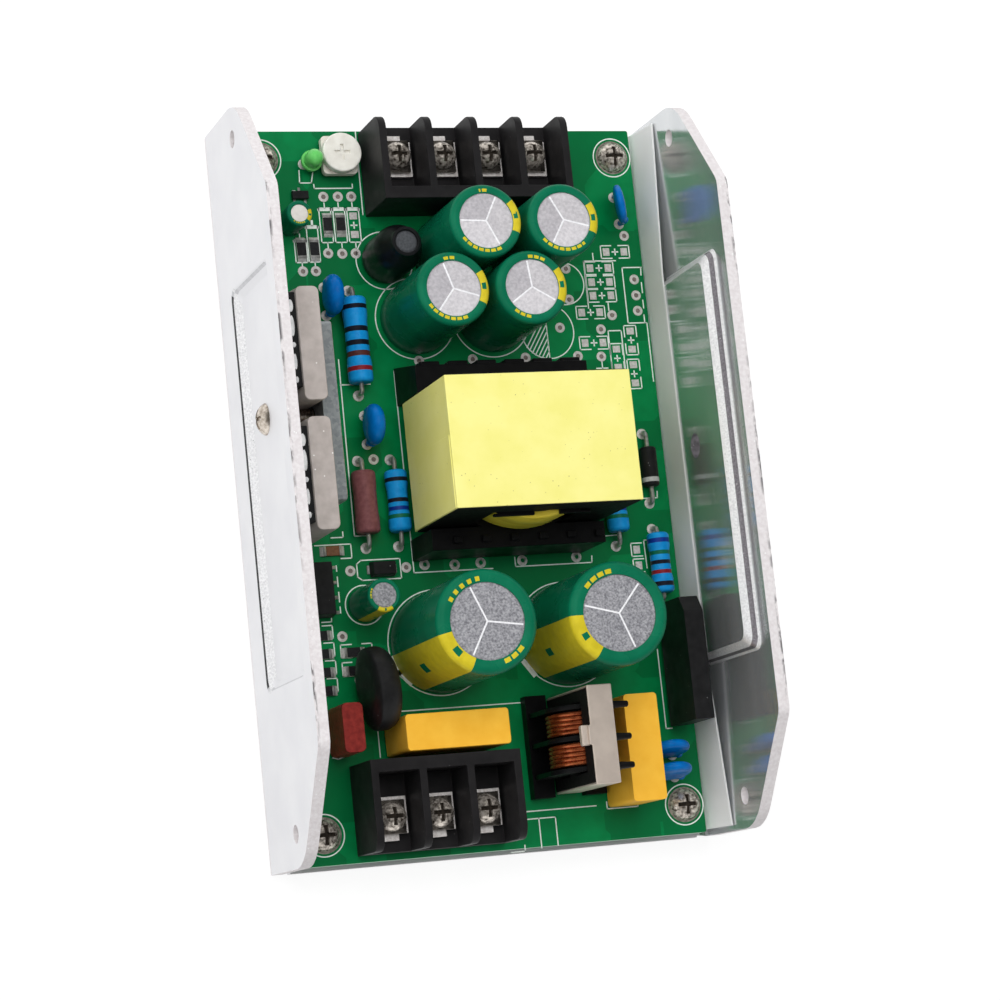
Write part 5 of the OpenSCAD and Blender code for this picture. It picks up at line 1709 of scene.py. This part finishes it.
    def hatched_end(self, form: Form, x: float, rear: float, width: float) -> None:
        """Add the closely hatched strip at the rear of a chip's frame."""
        self.stroke(form, (x - width / 2, rear - 0.3), (x + width / 2, rear - 0.3), 0.45)

    def brackets(self, form: Form, x: float, y: float, way: Sequence[int]) -> None:
        """Add the bracket round a pad, closed on the side that the way points to."""
        side, length = self.bracket
        corners = ((-side, length), (side, length), (side, -length), (-side, -length))
        turn = Matrix.Rotation(math.atan2(way[1], way[0]), 2)
        self.lines(form, [Vector((x, y)) + turn @ Vector(corner) for corner in corners])

    def legend(self) -> bpy.types.Object:
        """Build the lines, circles, frames and plus marks."""
        form = Form("board_legend")
        for screw in Frame.solids("board_screws"):
            self.circle(form, screw.mid.x, screw.mid.y, self.screw_ring)
        for node, margin in (("bulk_capacitor_1_sleeve", 0.35), ("bulk_capacitor_2_sleeve", 0.35), ("supply_capacitor", 0.5)):
            room = seat(node)
            self.circle(form, room.mid.x, room.mid.y, room.size.x / 2 + margin)
        for number in (3, 4):
            room = seat(f"output_capacitor_{number}_sleeve")
            self.circle(form, room.mid.x, room.mid.y, room.size.x / 2 + 0.8)
        inductor = seat("output_inductor")
        self.circle(form, inductor.mid.x, inductor.mid.y, inductor.size.x / 2 + 0.9)
        self.circle(form, 20.6, 34.9, 3.8)
        self.circle(form, 16.6, 26.4, 4.9)
        self.half_hatch(form, 16.5, 26.4, 4.9)
        for path in self.paths:
            self.lines(form, path)
        for path in self.thick_paths:
            self.lines(form, path, 0.9)
        for x, y, width, length in self.boxes:
            self.frame(form, x, y, width, length)
            self.hatched_end(form, x, y + length / 2, width)
            self.stroke(form, (x, y + length / 2), (x, y + length / 2 + 0.9))
            self.stroke(form, (x, y - length / 2), (x, y - length / 2 - 0.9))
        for x, y in self.plus_pairs:
            self.plus(form, x, y)
            self.brackets(form, x - 1.7, y, (-1, 0))
            self.brackets(form, x + 1.7, y, (1, 0))
        for x, y in self.upright_pairs:
            self.plus(form, x, y)
            if x > 0:
                self.brackets(form, x, y - 1.65, (0, -1))
                self.brackets(form, x, y + 1.65, (0, 1))
        for x, y in self.lone_pads:
            self.brackets(form, x, y, (-1, 0))
        return form.piece(Slot.WHITE_MOULDING)

    def pads(self) -> bpy.types.Object:
        """Build the bare pads, the plated holes and the lands round the screws."""
        form = Form("board_pads")
        spots = [(x + side * 1.7, y, 0) for x, y in self.plus_pairs for side in (-1, 1)]
        spots += [(x, y + side * 1.65, 90) for x, y in self.upright_pairs for side in (-1, 1)]
        spots += [(x, y, 0) for x, y in self.lone_pads]
        for x, y, turn in spots:
            pad = block((*self.pad_size, 0.12), 0.05)
            form.add(pad, SOLDER, at(x, y, Frame.board_top + 0.03, (0, 0, turn)))
        outer, inner = self.hole_radius
        ring = ((inner, 0.0), (outer, 0.0), (outer, 0.05), (inner, 0.08))
        plug = ((0.0, 0.0), (inner, 0.0), (inner, 0.03), (0.0, 0.03))
        for x, y in self.holes:
            form.add(turned(ring, 18, True), SOLDER, at(x, y, Frame.board_top))
            form.add(turned(plug, 18), HOLE, at(x, y, Frame.board_top))
        land = ((1.6, 0.0), (self.screw_land, 0.0), (self.screw_land - 0.1, 0.05), (1.6, 0.05))
        for screw in Frame.solids("board_screws"):
            form.add(turned(land, 40, True), LAND, at(screw.mid.x, screw.mid.y, Frame.board_top))
        return form.piece(Slot.TIN)


@dataclass
class Studio:
    """The floor, the lamps, the surroundings and the camera."""

    floor_side: float = 6.0
    floor_drop: float = 0.0003
    ambient: float = 0.36
    ceiling: float = 0.22
    ceiling_from: tuple[float, float] = (0.25, 0.7)
    camera_place: tuple[float, float, float] = (-0.169431, -0.08179, 0.480001)
    camera_turn: tuple[float, float, float] = (11.01175, -19.22152, -6.24388)
    lens: float = 106.4094
    sensor: float = 36.0

    def build(self) -> None:
        """Build the stage."""
        self.floor()
        self.surroundings()
        self.lamp("overhead_lamp", (-0.06, 0.24, 0.82), 0.6, 4.5)
        self.lamp("left_lamp", (-0.72, 0.14, 0.58), 0.8, 3.6)
        self.camera()
        bpy.context.scene.view_settings.view_transform = "Standard"

    def seen(self, tree: bpy.types.NodeTree) -> bpy.types.NodeSocket:
        """Return 1 for rays from the camera and for those that metal and glass send on."""
        path = tree.nodes.new("ShaderNodeLightPath").outputs
        share = path["Is Camera Ray"]
        for name in ("Is Glossy Ray", "Is Transmission Ray"):
            both = tree.nodes.new("ShaderNodeMath")
            both.operation = "MAXIMUM"
            tree.links.new(share, both.inputs[0])
            tree.links.new(path[name], both.inputs[1])
            share = both.outputs[0]
        return share

    def floor(self) -> None:
        """Build the pale floor, which shows white and keeps the object's shadow."""
        shape = bmesh.new()
        bmesh.ops.create_grid(shape, x_segments=1, y_segments=1, size=self.floor_side / 2)
        bmesh.ops.translate(shape, verts=shape.verts, vec=(0, 0, -self.floor_drop))
        mesh = bpy.data.meshes.new("floor")
        shape.to_mesh(mesh)
        shape.free()
        material = bpy.data.materials.new("pale_floor")
        material.use_nodes = True
        tree = material.node_tree
        tree.nodes.clear()
        plain = tree.nodes.new("ShaderNodeBsdfDiffuse")
        plain.inputs["Color"].default_value = (0.8, 0.8, 0.8, 1.0)
        shaded = tree.nodes.new("ShaderNodeBsdfDiffuse")
        shaded.inputs["Color"].default_value = (0.22, 0.22, 0.22, 1.0)
        glow = tree.nodes.new("ShaderNodeEmission")
        glow.inputs["Strength"].default_value = 0.84
        white = tree.nodes.new("ShaderNodeAddShader")
        choose = tree.nodes.new("ShaderNodeMixShader")
        output = tree.nodes.new("ShaderNodeOutputMaterial")
        tree.links.new(shaded.outputs[0], white.inputs[0])
        tree.links.new(glow.outputs[0], white.inputs[1])
        tree.links.new(self.seen(tree), choose.inputs[0])
        tree.links.new(plain.outputs[0], choose.inputs[1])
        tree.links.new(white.outputs[0], choose.inputs[2])
        tree.links.new(choose.outputs[0], output.inputs[0])
        mesh.materials.append(material)
        floor = bpy.data.objects.new("floor", mesh)
        bpy.context.scene.collection.objects.link(floor)

    def surroundings(self) -> None:
        """Make the surroundings white to the eye, softer as light and with a grey ceiling in reflections."""
        world = bpy.data.worlds.new("studio")
        world.use_nodes = True
        tree = world.node_tree
        light = tree.nodes["Background"]
        way = tree.nodes.new("ShaderNodeSeparateXYZ")
        tree.links.new(tree.nodes.new("ShaderNodeTexCoord").outputs["Generated"], way.inputs[0])
        ceiling = tree.nodes.new("ShaderNodeMapRange")
        ceiling.inputs["From Min"].default_value = self.ceiling_from[0]
        ceiling.inputs["From Max"].default_value = self.ceiling_from[1]
        ceiling.inputs["To Min"].default_value = 1.0
        ceiling.inputs["To Max"].default_value = self.ceiling
        tree.links.new(way.outputs["Z"], ceiling.inputs["Value"])
        level = tree.nodes.new("ShaderNodeMapRange")
        level.inputs["To Min"].default_value = self.ambient
        tree.links.new(ceiling.outputs[0], level.inputs["To Max"])
        tree.links.new(self.seen(tree), level.inputs["Value"])
        tree.links.new(level.outputs[0], light.inputs["Strength"])
        light.inputs["Color"].default_value = (1.0, 1.0, 1.0, 1.0)
        bpy.context.scene.world = world

    def lamp(self, name: str, place: Sequence[float], side: float, power: float) -> None:
        """Hang a square lamp that faces the object.

        Args:
            name: Name of the lamp.
            place: Its place in metres.
            side: Length of its sides.
            power: Its power in watts.
        """
        data = bpy.data.lights.new(name, "AREA")
        data.size = side
        data.energy = power
        lamp = bpy.data.objects.new(name, data)
        lamp.visible_glossy = False
        lamp.location = place
        lamp.rotation_euler = (-Vector(place)).to_track_quat("-Z", "Y").to_euler()
        bpy.context.scene.collection.objects.link(lamp)

    def camera(self) -> None:
        """Put the camera where the picture was taken."""
        data = bpy.data.cameras.new("camera")
        data.lens = self.lens
        data.sensor_width = self.sensor
        data.clip_start = 0.01
        camera = bpy.data.objects.new("camera", data)
        camera.location = self.camera_place
        camera.rotation_euler = [math.radians(part) for part in self.camera_turn]
        bpy.context.scene.collection.objects.link(camera)
        bpy.context.scene.camera = camera


def capacitors() -> list[SleevedCapacitor]:
    """Return the eight electrolytic capacitors."""
    bulk = {"lip": 2.3, "shoulder": 1.2, "pitch": 7.5}
    out = {"lip": 1.6, "shoulder": 0.95, "tops": (MID_SHEEN_TOP, DIM_SHEEN_TOP, BRIGHT_SHEEN_TOP)}
    small = {"lip": 0.75, "shoulder": 0.5, "steps": 96, "drop_in": 0.2, "pitch": 2.0}
    return [
        SleevedCapacitor("bulk_capacitor_1", scores=(113, -8, -119), stripe=(219, 54), print_spans=((95, 152), (288, 322)), **bulk),
        SleevedCapacitor("bulk_capacitor_2", scores=(50, 165, -69), stripe=(209, 56), print_spans=((96, 140),), **bulk),
        SleevedCapacitor("output_capacitor_1", scores=(63, 178, -64), stripe=(8, 58), print_spans=((214, 293), (84, 100)), **out),
        SleevedCapacitor("output_capacitor_2", scores=(118, -14, -120), stripe=(3, 55), print_spans=((220, 310),), **out),
        SleevedCapacitor("output_capacitor_3", scores=(108, -17, -128), stripe=(2, 56), print_spans=((210, 290), (84, 104)), **out),
        SleevedCapacitor("output_capacitor_4", scores=(96, -31, -145), stripe=(3, 60), print_spans=((60, 92), (228, 262)), **out),
        SleevedCapacitor("supply_capacitor", scores=(), stripe=(270, 60), print_spans=((150, 190),), **small),
        SleevedCapacitor("reference_capacitor", scores=(), stripe=(-10, 60), print_spans=((230, 300),), tops=(CAP_WHITE,), **small),
    ]


def axial_parts() -> list[AxialPart]:
    """Return the resistors and the diode that lie on the board."""
    power = ((0.126, 0.8, BAND_BLACK), (0.385, 0.9, BAND_BLACK), (0.546, 0.9, BAND_BLACK), (0.672, 0.9, BAND_BROWN), (0.845, 0.8, BAND_RED))
    film = ((0.167, 0.7, BAND_BLACK), (0.5, 0.7, BAND_BLACK), (0.635, 0.7, BAND_BLUE), (0.762, 0.7, BAND_GREEN))
    right = (
        (0.14, 0.8, BAND_BLUE), (0.34, 0.7, BAND_GREEN), (0.5, 0.7, BAND_BLACK), (0.66, 0.7, BAND_RED), (0.86, 0.8, BAND_BLACK),
    )
    return [
        AxialPart("power_resistor", Slot.BLUE_LACQUER, BLUE_LACQUER, 15.0, (power,), waist=0.15),
        AxialPart("sense_resistor", Slot.MAUVE_CEMENT, MAUVE, 10.8, waist=0.1),
        AxialPart("film_resistors", Slot.BLUE_LACQUER, BLUE_LACQUER, 10.6, (right, film, film)),
        AxialPart("axial_diode", Slot.BLACK_EPOXY, BLACK_EPOXY, 7.0, (((0.84, 0.8, BAND_SILVER),),), waist=0.02, end_round=0.5),
    ]


def softened_parts() -> list[SoftenedPart]:
    """Return the parts that keep their CAD shape with softened edges."""
    chip = seat("control_chip").mid
    diode = seat("surface_diode").mid
    bar = seat("clamp_bar").high.x
    return [
        SoftenedPart("standoffs", NICKEL, Slot.NICKEL, 0.2),
        SoftenedPart("circuit_board", BOARD, Slot.BOARD_GREEN, 0.12),
        SoftenedPart("box_capacitor_1", AMBER, Slot.AMBER_BOX, 0.35),
        SoftenedPart("box_capacitor_2", AMBER, Slot.AMBER_BOX, 0.35),
        SoftenedPart("film_capacitor", RED_DIP, Slot.RED_DIP, 0.5),
        SoftenedPart("bridge_rectifier", BLACK_EPOXY, Slot.BLACK_EPOXY, 0.25, ((TIN, below(1.2)),)),
        SoftenedPart("power_transistors", BLACK_EPOXY, Slot.BLACK_EPOXY, 0.15, ((TIN, below(2.5)),)),
        # Painted highlight: the bar's right edge takes the brighter tin finish.
        SoftenedPart("clamp_bar", ZINC, Slot.ZINC_STEEL, 0.2, ((TIN, lambda middle: middle.x > bar - 0.22),)),
        SoftenedPart("trimmer_base", TRIMMER_WHITE, Slot.BEIGE_MOULDING, 0.12, ((TIN, below(0.9)),)),
        SoftenedPart("trimmer_dial", DIAL_WHITE, Slot.WHITE_MOULDING, 0.12, body=DIAL_BODY),
        SoftenedPart(
            "control_chip", BLACK_EPOXY, Slot.BLACK_EPOXY, 0.1, ((TIN, lambda middle: abs(middle.x - chip.x) > 3.22),)
        ),
        SoftenedPart(
            "surface_diode", BLACK_EPOXY, Slot.BLACK_EPOXY, 0.1, ((TIN, lambda middle: abs(middle.x - diode.x) > 2.17),)
        ),
    ]


def discs() -> list[DippedDisc]:
    """Return the thermistor and the disc capacitors."""
    blue = (Slot.BLUE_DIP, BLUE_DIP, 7.0)
    return [
        DippedDisc(
            "thermistor", Slot.BLACK_EPOXY, BLACK_EPOXY, 14.0, 4.4, 5.0, turn=5.0, seat=2.0, flat_share=0.78,
            rim_share=0.7,
        ),
        DippedDisc("disc_capacitor_1", *blue, 3.0, 4.9),
        DippedDisc("disc_capacitor_2", *blue, 3.0, 4.9),
        DippedDisc("disc_capacitor_3", *blue, 1.8, 4.9, lean=-20.0, turn=6.0),
        DippedDisc("disc_capacitor_pair", *blue, 2.2, 4.9, lean=12.0),
    ]


def main() -> None:
    """Load the frame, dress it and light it."""
    logging.basicConfig(level=logging.INFO, format="%(name)s: %(message)s")
    Frame.load()
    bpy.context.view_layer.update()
    Studio().build()
    solder = SolderJoints()
    Chassis().build()
    ClampScrew().build()
    CrossScrews("board_screws", SCREW_GLINTS).build()
    for part in softened_parts():
        part.build()
    for name in ("output_terminal", "input_terminal"):
        TerminalBlock(name).build()
    Transformer().build(solder)
    Choke().build()
    for part in (*capacitors(), *axial_parts(), *discs(), OutputInductor(), IndicatorLamp()):
        part.build(solder)
    SurfaceChips().build()
    InsulatingFilm().build()
    InsulatingCap("insulating_cap_1", (0.9, 0.6)).build()
    InsulatingCap("insulating_cap_2").build()
    HeatPaste().build()
    BoardPrint().build()
    solder.build()


if __name__ == "__main__":
    main()
